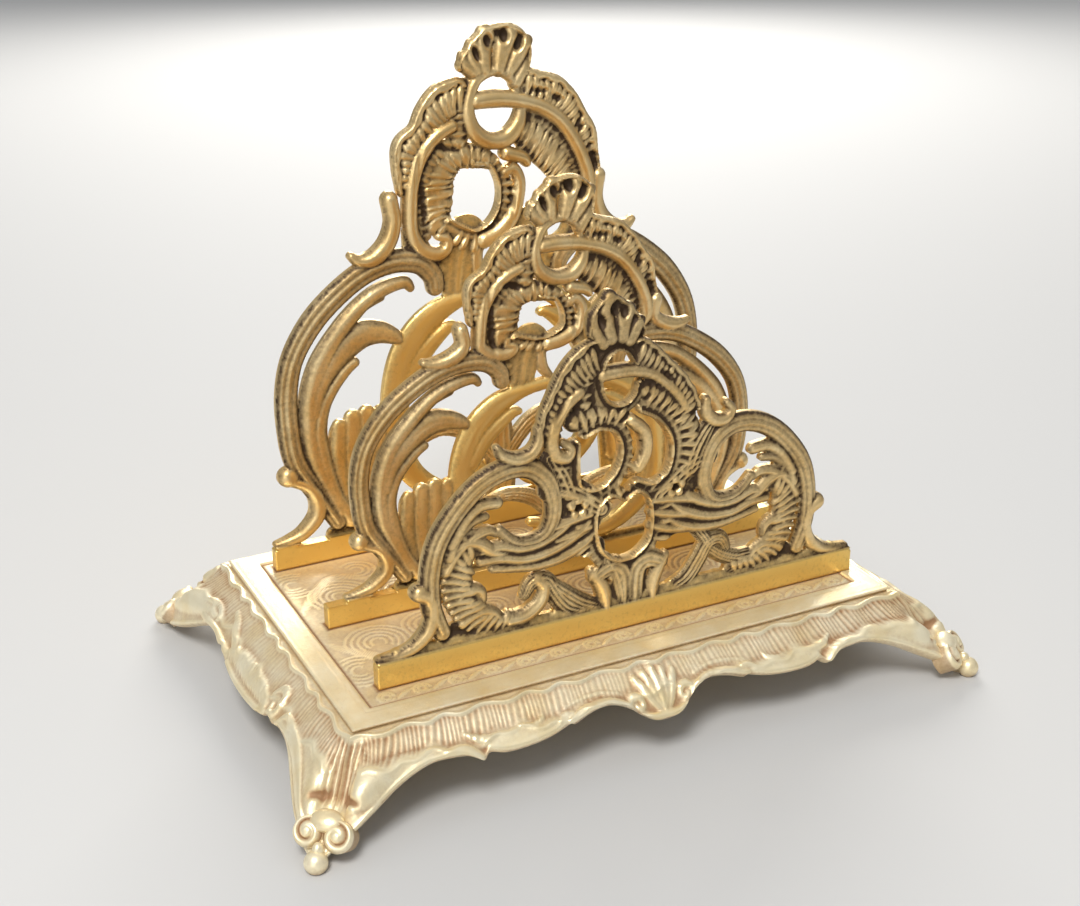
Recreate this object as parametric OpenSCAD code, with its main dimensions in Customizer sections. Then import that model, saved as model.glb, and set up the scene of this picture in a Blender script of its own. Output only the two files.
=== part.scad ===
/* [Base] */
// Length of the flat top of the base, left to right
base_l = 150; // [146:1:190]
// Depth of the flat top of the base, front to back
base_d = 95.2; // [90:0.2:130]
// Height of the flat top above the table
base_h = 22.7; // [20:0.1:30]
// Thickness of the flat top
top_t = 3; // [2:0.1:4]
// How far the skirt flares out past the flat top, on each side
flare = 16.6; // [12:0.2:20]
// Wall of the flared skirt, measured level
skirt_wall = 2.6; // [2:0.1:3.6]
// Width of the plain raised border
border_w = 6.8; // [5:0.1:9]
// Depth of the sunk field inside the border
field_drop = 0.4; // [0.2:0.1:1]
// Height of the crisp edge over the skirt
edge_h = 1.5; // [1:0.1:2.5]
// Radius of the ball toe under each foot
toe_r = 2.7; // [2:0.1:3.4]
// Radius of the two scrolls on each foot
foot_scroll_r = 3.5; // [2.8:0.1:4.2]

/* [All panels] */
// Thickness of the foot bar under each panel
bar_t = 3.2; // [2.6:0.1:5]
// Height of the foot bar
bar_h = 6; // [5.6:0.1:8]
// Thickness of the pierced sheet
sheet_t = 2.2; // [1.6:0.1:3]
// How far the sheet lies behind the face of its bar
sheet_back = 0.8; // [0.4:0.1:1.2]
// Height of the scrolls over the sheet
relief = 1; // [0.4:0.1:1.6]
// Height of the rods, rings and rims over the scrolls
ridge = 0.6; // [0.3:0.1:1.2]

/* [Front panel] */
// Distance of its face in front of the centre of the base
front_y = 34.4; // [30:0.2:36]
// Shift to the right of the centre of the base
front_shift = 4; // [0:0.2:5]
// Length of its foot bar
front_bar_l = 135; // [110:1:136]
// Width over its two side lobes
front_w = 111; // [90:1:120]
// Height of its crest over the flat top
front_h = 88; // [70:1:100]

/* [Middle panel] */
// Distance of its face in front of the centre of the base
middle_y = 1.4; // [-8:0.2:8]
// Shift to the right of the centre of the base
middle_shift = 2.2; // [0:0.2:5]
// Length of its foot bar
middle_bar_l = 132; // [110:1:136]
// Width over its two side lobes
middle_w = 116; // [90:1:125]
// Height of its shoulders over the flat top
middle_shoulder = 64; // [55:0.5:66]
// Height of the centre of its shell
middle_shell = 69.5; // [67:0.5:78]
// Height of the centre of its ring
middle_ring = 88.3; // [82:0.1:94]
// Height of its crest over the flat top
middle_h = 107; // [98:1:118]

/* [Rear panel] */
// Distance of its face behind the centre of the base
rear_y = 35; // [30:0.2:36]
// Shift to the right of the centre of the base
rear_shift = 2.2; // [0:0.2:5]
// Length of its foot bar
rear_bar_l = 135; // [110:1:136]
// Width over its two side lobes
rear_w = 128; // [100:1:135]
// Height of its shoulders over the flat top
rear_shoulder = 81; // [72:0.5:84]
// Height of the centre of its shell
rear_shell = 93.5; // [88:0.5:98]
// Height of the centre of its ring
rear_ring = 117.5; // [110:0.5:122]
// Height of its crest over the flat top
rear_h = 138.7; // [130:0.1:148]

/* [Screws] */
// Diameter of the screws that hold the panels from below
screw_d = 2.5; // [2:0.1:3]
// How far a screw reaches up into the bar
screw_grip = 4.9; // [3:0.1:4.9]
// Diameter of a screw head
head_d = 4.8; // [4:0.1:6]
// Height of a screw head
head_h = 1.8; // [1.2:0.1:2.4]
// Distance between the two screws of a panel
screw_gap = 92; // [60:1:100]
// Clearance round a screw in the base
screw_play = 0.3; // [0.1:0.05:0.5]
// Radius of the lug behind the bar that takes a screw
lug_r = 2.6; // [2.2:0.1:3]

/* [Hidden] */
gilt = "#c9a558";
pale = "#dcc99a";
steel = "#8a8178";
eps = 0.01;
field_z = base_h - field_drop;

// Curves. A route is a list of [x, height, half width]; a smooth curve runs through its points.
function at(p, i) = p[max(0, min(len(p) - 1, i))];
function blend(p, i, t) =
  let (a = at(p, i - 1), b = at(p, i), c = at(p, i + 1), d = at(p, i + 2))
  0.5 * (2 * b + (c - a) * t + (2 * a - 5 * b + 4 * c - d) * t * t + (3 * b - a - 3 * c + d) * t * t * t);
function smooth(p, n) = [for (i = [0:len(p) - 2], k = [0:n - 1]) blend(p, i, k / n), p[len(p) - 1]];
function edge(c, i, s) =
  let (v = at(c, i + 1) - at(c, i - 1), l = max(norm([v[0], v[1]]), eps))
  [c[i][0] - s * v[1] / l * c[i][2], c[i][1] + s * v[0] / l * c[i][2]];

// One scroll: quads along the curve, with round ends.
module scroll(route, n = 2) {
  c = smooth(route, n);
  last = len(c) - 1;
  for (i = [0:last - 1])
    polygon([edge(c, i, 1), edge(c, i + 1, 1), edge(c, i + 1, -1), edge(c, i, -1)]);
  for (e = [c[0], c[last]])
    translate([e[0], e[1]]) circle(r = e[2], $fn = 10);
}
module scrolls(routes) {
  for (r = routes) scroll(r);
}
// One outline round all the scrolls of a layer.
module welded() {
  offset(delta = 0) children();
}
module both_sides() {
  children();
  mirror([1, 0]) children();
}

// Base casting

// The flared skirt swells outwards like a quarter of a superellipse.
swell = 1.45;
skirt_h = base_h - edge_h;
skirt_steps = 9;
function skirt_point(t) = [flare * pow(sin(t), 2 / swell), skirt_h * pow(cos(t), 2 / swell)];
function skirt_out(z) = flare * pow(1 - pow(z / skirt_h, swell), 1 / swell);
module skirt_profile() {
  under = base_h - top_t;
  outer = [for (k = [0:skirt_steps]) skirt_point(90 * k / skirt_steps)];
  inner = [for (k = [skirt_steps:-1:0]) if (outer[k][1] < under) outer[k] - [skirt_wall, 0]];
  polygon(concat([[-top_t, under], [-top_t, skirt_h]], outer, inner,
    [[skirt_out(under) - skirt_wall, under]]));
}

// Lower edges of the skirt as half outlines: [distance from the middle, height], drawn for
// a skirt of this height that ends this far from the middle.
drawn_h = 22.7;
long_edge = [
  [0, 10.2], [3, 10.5], [6, 12], [9, 14], [12.5, 15.2], [16, 15.4], [20, 14.8], [23.5, 13.9],
  [25, 14.1], [30, 13], [36, 12.4], [42, 12.4], [46, 13], [49, 14.3], [51.5, 13.5], [55, 14],
  [60, 14.1], [65, 13.1], [70, 11.4], [75, 9], [80, 6.5], [84, 4.6], [88, 2.6], [91.6, 0]];
short_edge = [
  [0, 10], [6, 10.1], [12, 10.6], [16, 11.4], [18.5, 12.6], [21, 12], [25, 12.7], [30, 12.5],
  [35, 11.3], [40, 9.2], [45, 6.8], [50, 4.6], [55, 2.8], [60, 1.2], [64.2, 0]];
module under_edge(half, reach) {
  past = 4;
  wide = reach / half[len(half) - 1][0];
  tall = base_h / drawn_h;
  pts = smooth([for (q = half) [q[0] * wide, q[1] * tall, 0]], 2);
  both_sides()
    polygon(concat([for (q = pts) [q[0], q[1]]], [[reach + past, 0], [reach + past, -past],
      [0, -past]]));
}

// One side of the skirt, mitred at both ends, with its lower edge cut to shape.
module skirt_side(l, d, half) {
  past = 4;
  reach = l / 2 + flare;
  run = reach + past;
  difference() {
    intersection() {
      translate([-run, -d / 2, 0]) rotate([90, 0, 90]) mirror([1, 0]) linear_extrude(2 * run)
        skirt_profile();
      linear_extrude(base_h) polygon([[-run, l / 2 - d / 2 - run], [run, l / 2 - d / 2 - run],
        [l / 2 - d / 2, 0], [d / 2 - l / 2, 0]]);
    }
    translate([0, -d / 2 + 2 * top_t, 0]) rotate([90, 0, 0]) linear_extrude(flare + 3 * top_t)
      under_edge(half, reach);
  }
}

// Each corner of the skirt is drawn in to a fluted valley: [out along the diagonal, height],
// as shares of the flare and of the height of the top.
valley = [[0, 0.93], [0.13, 0.9], [0.28, 0.78], [0.41, 0.61], [0.57, 0.45], [0.81, 0.335],
  [1.05, 0.265], [1.22, 0.155], [1.26, 0]];
valley_w = 8.4;
function valley_line() = [for (q = valley) [q[0] * flare, q[1] * base_h]];
module on_diagonal(w) {
  rotate([90, 0, 45]) translate([0, 0, -w / 2]) linear_extrude(w) children();
}
module corners() {
  for (x = [0, 1], y = [0, 1]) mirror([x, 0, 0]) mirror([0, y, 0])
    translate([base_l / 2, base_d / 2, 0]) children();
}
module valley_cut() {
  on_diagonal(valley_w) polygon(concat(valley_line(), [[3 * flare, 0], [3 * flare, skirt_h]]));
}
module valley_wall() {
  line = valley_line();
  thick = 1.25 * skirt_wall;
  on_diagonal(valley_w + 0.8) polygon(concat(line, [for (k = [len(line) - 1:-1:0])
    [line[k][0] - thick, min(line[k][1], base_h - top_t)]]));
}

// Ball toe and double scroll of one foot, at a corner of the top.
module foot() {
  toe_out = 1.3 * flare;
  toe_z = 0.8 * toe_r;
  scroll_out = 1.04 * flare;
  scroll_z = 0.305 * base_h;
  scroll_tilt = 55;
  scroll_t = 3.6;
  eye_r = 0.45 * foot_scroll_r;
  rotate([0, 0, 45]) {
    translate([toe_out, 0, 0]) intersection() {
      translate([0, 0, toe_z]) sphere(r = toe_r);
      cylinder(r = 2 * toe_r, h = 3 * toe_r);
    }
    translate([scroll_out, 0, scroll_z]) rotate([0, scroll_tilt, 0]) for (k = [-1, 1])
      translate([0, k * 0.94 * foot_scroll_r, -scroll_t]) {
        cylinder(r = foot_scroll_r, h = scroll_t);
        cylinder(r = eye_r, h = scroll_t + 0.9);
      }
  }
}

// Shell boss with two curls at the middle of a long side.
module cartouche() {
  z = 0.6 * base_h;
  shell_r = 4.6;
  curl_r = 2.3;
  lean = 50;
  translate([0, -base_d / 2 - skirt_out(z), z]) rotate([lean, 0, 0]) {
    translate([0, 0, -1]) cylinder(r = shell_r, h = 2.1);
    both_sides() translate([shell_r + 0.8, -1, -1]) cylinder(r = curl_r, h = 2.5);
  }
}

module base() {
  color(pale) difference() {
    union() {
      translate([-base_l / 2, -base_d / 2, base_h - top_t]) cube([base_l, base_d, top_t]);
      difference() {
        for (k = [0, 180]) {
          rotate([0, 0, k]) skirt_side(base_l, base_d, long_edge);
          rotate([0, 0, k + 90]) skirt_side(base_d, base_l, short_edge);
        }
        corners() valley_cut();
      }
      corners() {
        valley_wall();
        foot();
      }
      for (k = [0, 180]) rotate([0, 0, k]) cartouche();
    }
    field();
    for (p = panel_places) {
      seat(p);
      screw_places(p) translate([0, 0, base_h - top_t - 1])
        cylinder(d = screw_d + 2 * screw_play, h = top_t + 2);
    }
  }
}

// Sunk field with a fine groove along its border.
module field() {
  groove = 0.6;
  l = base_l - 2 * border_w;
  d = base_d - 2 * border_w;
  translate([-l / 2, -d / 2, field_z]) cube([l, d, 2 * top_t]);
  translate([0, 0, field_z - field_drop]) linear_extrude(2 * top_t) difference() {
    square([l, d], center = true);
    square([l - 2 * groove, d - 2 * groove], center = true);
  }
}

// Recess that lets the foot bar of a panel into the top.
module seat(p) {
  play = 0.1;
  translate([p[0] - p[2] / 2 - play, p[1] - play, field_z])
    cube([p[2] + 2 * play, bar_t + 2 * play, 2 * top_t]);
  screw_places(p) translate([0, 0, field_z]) cylinder(r = lug_r + play, h = 2 * top_t);
}

// Where the panels stand: [shift to the right, place of the face, length of the bar].
front_place = [front_shift, -front_y, front_bar_l];
middle_place = [middle_shift, -middle_y, middle_bar_l];
rear_place = [rear_shift, rear_y, rear_bar_l];
panel_places = [front_place, middle_place, rear_place];
screw_back = lug_r + 0.2;
module screw_places(p) {
  for (k = [-1, 1]) translate([p[0] + k * screw_gap / 2, p[1] + screw_back, 0]) children();
}

// Foot bar with two lugs behind it, drilled for the screws.
module bar(p) {
  hole = screw_grip + 0.4;
  difference() {
    union() {
      translate([p[0] - p[2] / 2, p[1], field_z]) cube([p[2], bar_t, bar_h]);
      screw_places(p) translate([0, 0, field_z]) cylinder(r = lug_r, h = bar_h);
    }
    screw_places(p) translate([0, 0, field_z - 1]) cylinder(d = screw_d, h = hole + 1);
  }
}

// Flat shapes set upright behind the face of a bar, each layer on the same back plane.
module upright(p, t) {
  translate([p[0], p[1] + sheet_back + sheet_t, base_h]) rotate([90, 0, 0]) linear_extrude(t)
    children();
}

// Screws with round heads, driven up from the hollow side into the lugs.
module screws() {
  shank = top_t - field_drop + screw_grip;
  under = base_h - top_t;
  slot_w = 0.6;
  slot_d = 0.7;
  color(steel) for (p = panel_places) screw_places(p) difference() {
    union() {
      translate([0, 0, under]) cylinder(d = screw_d, h = shank);
      translate([0, 0, under - head_h]) cylinder(d = head_d, h = head_h);
    }
    translate([-head_d, -slot_w / 2, under - head_h - 1]) cube([2 * head_d, slot_w, slot_d + 1]);
  }
}

// Height of a bar over the top of the base, as drawn in the routes and as set.
drawn_bar = 5.6;
bar_top = bar_h - field_drop;
// Shapes a design's routes to the width and the heights of a panel.
function fit(routes, wide, stout, heights) =
  [for (r = routes) [for (q = r) [q[0] * wide, lookup(q[1], heights), q[2] * stout]]];
// Narrows routes, so that a raised layer leaves a low margin round each scroll.
function narrow(routes, share, less) =
  [for (r = routes) [for (q = r) [q[0], q[1], max(0.35, q[2] * share - less)]]];

// Sheet with every scroll, scrolls raised over it and rims raised over those. The webs close
// the gaps between scrolls that touch.
module pierced(p, sides, side_rims, middles, middle_rims, plain, webs) {
  margin = 0.5;
  rim_share = 0.5;
  upright(p, sheet_t) welded() {
    both_sides() scrolls(concat(sides, side_rims, plain));
    scrolls(concat(middles, middle_rims, webs));
  }
  upright(p, sheet_t + relief) welded() {
    both_sides() scrolls(narrow(concat(sides, side_rims), 1, margin));
    scrolls(narrow(concat(middles, middle_rims), 1, margin));
  }
  upright(p, sheet_t + relief + ridge) welded() {
    both_sides() scrolls(narrow(side_rims, rim_share, 0));
    scrolls(narrow(middle_rims, rim_share, 0));
  }
}

// Tall panels, drawn in the sizes of the rear one. Left-hand scrolls, which are mirrored:
tall_sides = [
  [[-48, 13, 3], [-54, 29, 3.2], [-55, 42, 3.2], [-52, 54, 3], [-45, 64, 2.6], [-38, 70.5, 2.2],
    [-32, 73.3, 2], [-27, 74, 1.7], [-25.3, 72.3, 1.2]],
  [[-53, 50, 2.5], [-48, 59.5, 2.2], [-43, 66, 1.9], [-38.5, 69.3, 1.6], [-33.6, 70.8, 1]],
  [[-54, 42, 3], [-51.5, 50, 3.2], [-46, 57.3, 3.8], [-40, 61.3, 3.8], [-35, 61.5, 3.1],
    [-31, 60, 2.3], [-29, 58.5, 1.5]],
  [[-45, 9.5, 2.5], [-49.3, 18, 2.6], [-51.8, 27, 2.6], [-53, 36, 2.6], [-51.5, 43, 2.3],
    [-48.3, 48.3, 2], [-44.5, 52.5, 1.8], [-41.8, 54.2, 1.4]],
  [[-42, 9, 4], [-45, 22, 4.5], [-46.5, 33, 3.5], [-46.8, 37, 2.5]],
  [[-40, 9, 4], [-40.5, 25, 4.5], [-41, 38.5, 3]],
  [[-37, 9, 4], [-35.5, 25, 4], [-35, 38, 2.5]],
  [[-28, 45, 3], [-24, 52, 3], [-19, 57, 2.5], [-15, 59.8, 1.8], [-13, 60, 1.2]],
  [[-2, 20, 2.5], [-9, 28, 2.6], [-17, 31, 2.2], [-24, 29, 1.8]]];
tall_side_rims = [
  [[-62, 25.5, 2.9], [-60.5, 24, 1.8], [-56.5, 21.5, 2], [-54.3, 17, 2.4], [-55, 12.5, 2.4],
    [-59, 8.5, 2], [-63, 7, 1.5], [-66.5, 6.5, 0.9]],
  [[-49, 10, 2.5], [-54, 19, 3], [-59.5, 29, 3], [-61, 39, 3], [-60.8, 49, 3], [-58.5, 58, 3],
    [-53, 66.5, 3.2], [-46, 73, 3.2], [-38, 78, 3.2], [-30, 80, 3.2], [-23, 79, 3.2],
    [-19, 75, 2.8], [-18.3, 71.5, 2.4]],
  [[-30.3, 96.3, 2.3], [-29.6, 90.5, 2.3], [-31.3, 85.3, 2.5], [-35, 81.8, 2.4],
    [-39, 81.3, 1.7], [-41.3, 82.8, 1.1]],
  [[0, 68.5, 2], [-9, 67.5, 2], [-16, 65.5, 3], [-22, 61.5, 3.8], [-27, 55, 4.2],
    [-29.8, 47, 4.2], [-31, 38, 4], [-30.5, 29, 3.8], [-27, 20, 3.4], [-20, 13.5, 3],
    [-12, 11, 2.6], [-7, 13.5, 2.2], [-6.5, 17.5, 1.8], [-9.5, 19, 1.4]]];
tall_plain = [
  [[-12, 69, 4], [-11, 77, 4.8], [-9, 84, 6]],
  [[-16, 76, 4], [-22, 80, 4], [-24, 87, 3]],
  [[0, 5, 4], [0, 16, 5], [0, 27, 4], [0, 36, 2.5]],
  [[-50, 6, 2.2], [-25, 6, 2.2], [0, 6, 2.5]]];
// Scrolls of the crown, which aren't mirrored:
tall_middles = [
  [[-26.5, 98, 1.6], [-26.7, 104, 2.4], [-26, 109.5, 2.8], [-22, 113, 2.6], [-19.3, 117.5, 3],
    [-15.5, 121, 3.5], [-11, 122.5, 3.3]],
  [[9, 124.5, 2.4], [13, 122.8, 2.8], [17.5, 121.3, 2.8], [21.5, 117.5, 2.7],
    [24.5, 112.5, 2.7], [27.3, 108.5, 2.4], [28.3, 103.5, 2], [29.3, 98.5, 1.7], [29, 93, 1.5]],
  [[-6, 126.5, 2], [-8.3, 128.7, 1.8], [-8.8, 131, 1.2]],
  [[-5, 127, 2], [-6.3, 130.5, 2.2], [-6, 133.3, 1.9]],
  [[-3, 127, 2.2], [-3.3, 132, 2.5], [-2.4, 135.8, 2.6]],
  [[1, 127, 2.2], [2.5, 132, 2.8], [4, 135.4, 2.8]],
  [[4, 126, 2], [6.5, 130, 2.5], [8.6, 133, 2.1], [9.8, 133.6, 1.2]],
  [[6, 123, 2], [8, 126, 1.8], [8.9, 129, 1.1]],
  [[-15, 85.5, 1.5], [-17.3, 89.5, 4], [-17.4, 95, 5], [-16, 101.5, 4.6], [-11.5, 105.2, 3.6],
    [-6, 105, 3.2], [-1.5, 103.3, 2.2], [1, 99.5, 1.8], [1.8, 95, 1.7], [1, 90, 1.9],
    [-2, 86, 1.9], [-6.5, 84.3, 1.7], [-11, 86, 1.8], [-14, 88, 1.8]],
  [[8.5, 110.5, 4.5], [13, 106.5, 5], [17.5, 102, 4.8], [20.5, 97, 4], [21.5, 91.5, 3.5]],
  [[-11, 109.5, 3], [-10, 114, 3], [-9.8, 118.5, 3], [-9, 123, 2.5]]];
tall_middle_rims = [
  [[-12.5, 113.5, 1.7], [-17, 111.3, 2], [-21.5, 106.5, 2.1], [-24, 100, 2.1],
    [-24.8, 93, 2.1], [-24.5, 87, 2], [-22, 82.5, 2], [-18, 80.5, 2], [-15, 81.5, 1.7],
    [-14.6, 84, 1.4], [-17, 85, 1]],
  [[6.3, 120.5, 1.1], [4.5, 124.3, 1.2], [0, 126.4, 1.2], [-5, 124.7, 1.5], [-7.3, 120.5, 1.8],
    [-7.8, 116, 2], [-6, 111.5, 2.2], [-2, 108.8, 2.3], [3, 109, 2.5], [6.2, 112.3, 2.2],
    [7.3, 116, 1.6]],
  [[-5.5, 119.3, 2.3], [-1, 119.5, 2.5], [4, 119, 2.3], [9, 117.8, 2.1], [14, 115.8, 2.1],
    [19, 112, 2.1], [23, 106.5, 2.1], [25.7, 101, 2.1], [27.3, 95.5, 2.1], [27, 89, 2.1],
    [24, 84, 2]],
  [[2.5, 100.3, 1.4], [5, 100.8, 1.6], [6.6, 97.5, 1.8], [6, 92.5, 2], [3.8, 87.5, 2.4],
    [0, 84, 2.6], [-4, 82.5, 2.4]],
  [[3, 105, 2], [7.5, 103.5, 1.7], [9, 101.8, 1.2]]];
tall_webs = [
  [[-25.5, 98, 1.5], [-24.3, 103, 2], [-22, 107.5, 2.2], [-19.5, 110.8, 1.8]],
  [[-20.5, 86, 1.8], [-21.3, 93, 2], [-20.5, 100, 2.2], [-17, 106.5, 2.4], [-12, 108.5, 2.2]],
  [[9, 121, 1.6], [15, 119.3, 1.8], [20, 116, 1.8], [24, 110.5, 1.8], [26.8, 104, 1.6],
    [28, 98, 1.4]],
  [[9, 114, 1.6], [14, 111.8, 1.8], [19, 107, 2], [22.5, 101, 2], [24, 95, 1.8]],
  [[2.5, 98, 1.6], [3.8, 93, 1.6], [2.5, 88, 1.6]],
  [[-7.5, 129.5, 1.8], [-4.5, 132.8, 2.4], [0, 134.2, 2.6], [5, 133.8, 2.6], [8.5, 130.5, 2]]];
module tall_panel(p, w, shoulder, shell, ring, h) {
  drawn_w = 128;
  drawn_panel_h = 138.5;
  wide = w / drawn_w;
  stout = sqrt(wide * h / drawn_panel_h);
  heights = [[0, 0], [drawn_bar, bar_top], [81, shoulder], [93.5, shell], [117.5, ring],
    [drawn_panel_h, h]];
  bar(p);
  pierced(p, fit(tall_sides, wide, stout, heights), fit(tall_side_rims, wide, stout, heights),
    fit(tall_middles, wide, stout, heights), fit(tall_middle_rims, wide, stout, heights),
    fit(tall_plain, wide, stout, heights), fit(tall_webs, wide, stout, heights));
}
module middle_panel() {
  color(gilt) tall_panel(middle_place, middle_w, middle_shoulder, middle_shell, middle_ring,
    middle_h);
}
module rear_panel() {
  color(gilt) tall_panel(rear_place, rear_w, rear_shoulder, rear_shell, rear_ring, rear_h);
}

// Front panel. Left-hand scrolls, which are mirrored:
front_sides = [
  [[-47.5, 32, 2], [-44, 37.5, 1.9], [-40, 40.3, 1.7], [-35.5, 40.2, 1.5]],
  [[-48, 29, 2], [-45.5, 34, 1.7], [-42, 36.8, 1.4], [-38.5, 37.3, 1]],
  [[-42.5, 31.5, 2], [-46, 28, 2.5], [-46.8, 22, 2.8], [-45, 16, 2.8], [-41.5, 11.5, 2.4],
    [-36, 9, 2], [-30, 9, 1.8]],
  [[-39, 30, 2.5], [-35, 27.5, 3], [-29, 25.3, 2.8], [-23, 26, 3], [-17, 28.5, 3.2],
    [-12, 30.5, 3]],
  [[-28.5, 14.5, 1.6], [-26.5, 17.5, 2.2], [-23, 17, 2.4], [-20.5, 13, 2.6], [-17, 8.5, 2.6],
    [-12, 6.5, 2]],
  [[-22, 41, 3], [-17, 39.5, 3.5], [-12, 36, 4], [-8, 33, 3]],
  [[-9, 15, 2.5], [-5, 16.5, 3], [-2, 14, 3.5], [-1.5, 6, 3.5]],
  [[-22, 49, 2.5], [-19, 44, 3.5], [-17, 39, 3.5]]];
front_side_rims = [
  [[-56, 21.7, 2.3], [-53.6, 19.5, 1.9], [-52.8, 15.5, 1.9], [-54.3, 11, 2], [-58, 7.8, 1.7],
    [-62, 6.7, 1.4], [-66.5, 6.4, 1]],
  [[-50.5, 10, 2.2], [-52.8, 17, 2.5], [-53, 25, 2.6], [-51, 33, 2.7], [-46.5, 39.8, 2.7],
    [-40.5, 45.3, 2.7], [-34, 48, 2.7], [-28, 47.8, 2.7], [-23.5, 44.5, 2.6],
    [-21.3, 39.5, 2.4], [-21, 34.5, 2.2], [-23, 30, 1.9], [-27, 28.5, 1.7], [-31.5, 29.5, 1.5],
    [-35, 33, 1.3]]];
front_plain = [
  [[-50, 6, 2.2], [-25, 6, 2.2], [0, 6, 2.2]],
  [[-23, 25, 2.5], [-16, 24.5, 2.5], [-9, 23, 2.5]],
  [[-14, 30, 3], [-14, 36, 3]],
  [[-49, 8, 2.6], [-45, 9, 3], [-41, 8, 2.6]]];
// Scrolls of the middle and the crown, which aren't mirrored:
front_middles = [
  [[3, 57.5, 1.8], [8, 54.5, 1.8], [12, 49, 2], [12.5, 43, 2], [10.5, 38, 2], [6, 35.7, 2],
    [1.5, 37.5, 1.8]],
  [[-24, 54, 1.3], [-23, 59, 1.9], [-20.5, 63.8, 2.2], [-18, 68, 2.6], [-15, 71.3, 2.8],
    [-11.5, 73.5, 2.8], [-8, 74.5, 2]],
  [[2, 73, 2.2], [5, 71, 2.2], [7.5, 68.5, 2.1], [10.5, 65.5, 2.1], [13.5, 62.3, 2],
    [16, 58.5, 1.8], [17.8, 55, 1.6]],
  [[-8, 75, 2], [-10.3, 78.5, 2], [-10.5, 82, 1.6]],
  [[-6, 76, 2.2], [-7.5, 81, 2.5], [-6.6, 85.6, 2.2]],
  [[-3, 76, 2.2], [-2.5, 80, 2.4], [-1.2, 82.2, 1.9]],
  [[-1, 75, 2.2], [1, 78, 1.9], [2.3, 79.2, 1.1]],
  [[-15, 57, 3], [-9, 57.5, 2.5], [-3, 56.5, 2.5]],
  [[4, 61.5, 2.5], [9, 58.5, 3], [13, 54.5, 2.5], [15, 51, 2.5]],
  [[15, 53, 3], [17, 47, 3.2], [17, 41, 3.5], [14, 36, 3]],
  [[-13, 61, 2.5], [-12.5, 66, 2.6], [-12, 71, 2.5]],
  [[-10.5, 35.8, 1.3], [-15, 37.8, 1.6], [-20, 39.8, 1.5]],
  [[-11, 32.3, 1.4], [-16, 31.8, 1.7], [-21, 30.8, 1.5]],
  [[-11.3, 29.1, 1.4], [-16, 28.1, 1.7], [-20.5, 27.3, 1.4]],
  [[-11, 25.8, 1.3], [-15, 24.3, 1.6], [-19, 23.3, 1.4]],
  [[6, 32.3, 1.4], [11, 31.8, 1.7], [16, 30.8, 1.6], [20, 29.3, 1.3]],
  [[6.3, 29.1, 1.4], [11, 27.8, 1.7], [16, 26.6, 1.6], [20, 25.3, 1.3]],
  [[6, 25.6, 1.3], [10, 24.1, 1.6], [14, 23.1, 1.5], [18, 22.3, 1.2]],
  [[-33, 8.8, 2], [-28.5, 9.2, 2.2], [-24.8, 11.8, 2.1], [-23.6, 15.3, 1.9], [-25.3, 18, 1.7]],
  [[-22, 16.5, 1.6], [-18, 12.5, 2.4], [-13.5, 8.8, 2.6], [-9, 6.8, 2]],
  [[-6.5, 19, 1.8], [-4, 15, 2.2], [-2.5, 10, 2.4], [-2, 6, 2]],
  [[18, 23.3, 1.8], [21, 20, 2], [23, 17, 2.2]],
  [[23, 15.8, 1.8], [27, 12.8, 2.2], [32, 10.8, 2.2], [37, 11.1, 1.8]],
  [[29, 7.3, 1.5], [33, 9.3, 2], [38, 10.5, 2], [43, 12.8, 2], [47, 13.3, 1.5]]];
front_webs = [
  [[-14, 38, 2.5], [-15, 32, 3.5], [-14, 25, 2.5]],
  [[11, 36, 2.5], [12, 31, 3.5], [12, 25, 2.5]],
  [[-21.5, 56, 1.6], [-19.5, 61, 1.8], [-16.5, 66, 1.8], [-12.5, 69.5, 1.6]],
  [[3, 70, 1.6], [8, 66.5, 1.6], [12, 62, 1.6], [15, 57.5, 1.4]],
  [[5, 64, 1.5], [9, 61, 1.6], [12, 57, 1.6]],
  [[-14, 57, 2], [-12, 60, 2], [-10, 63, 2]],
  [[-8.5, 79, 1.8], [-6.5, 82.5, 2.2], [-3, 82, 2], [0, 79, 1.6]]];
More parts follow.
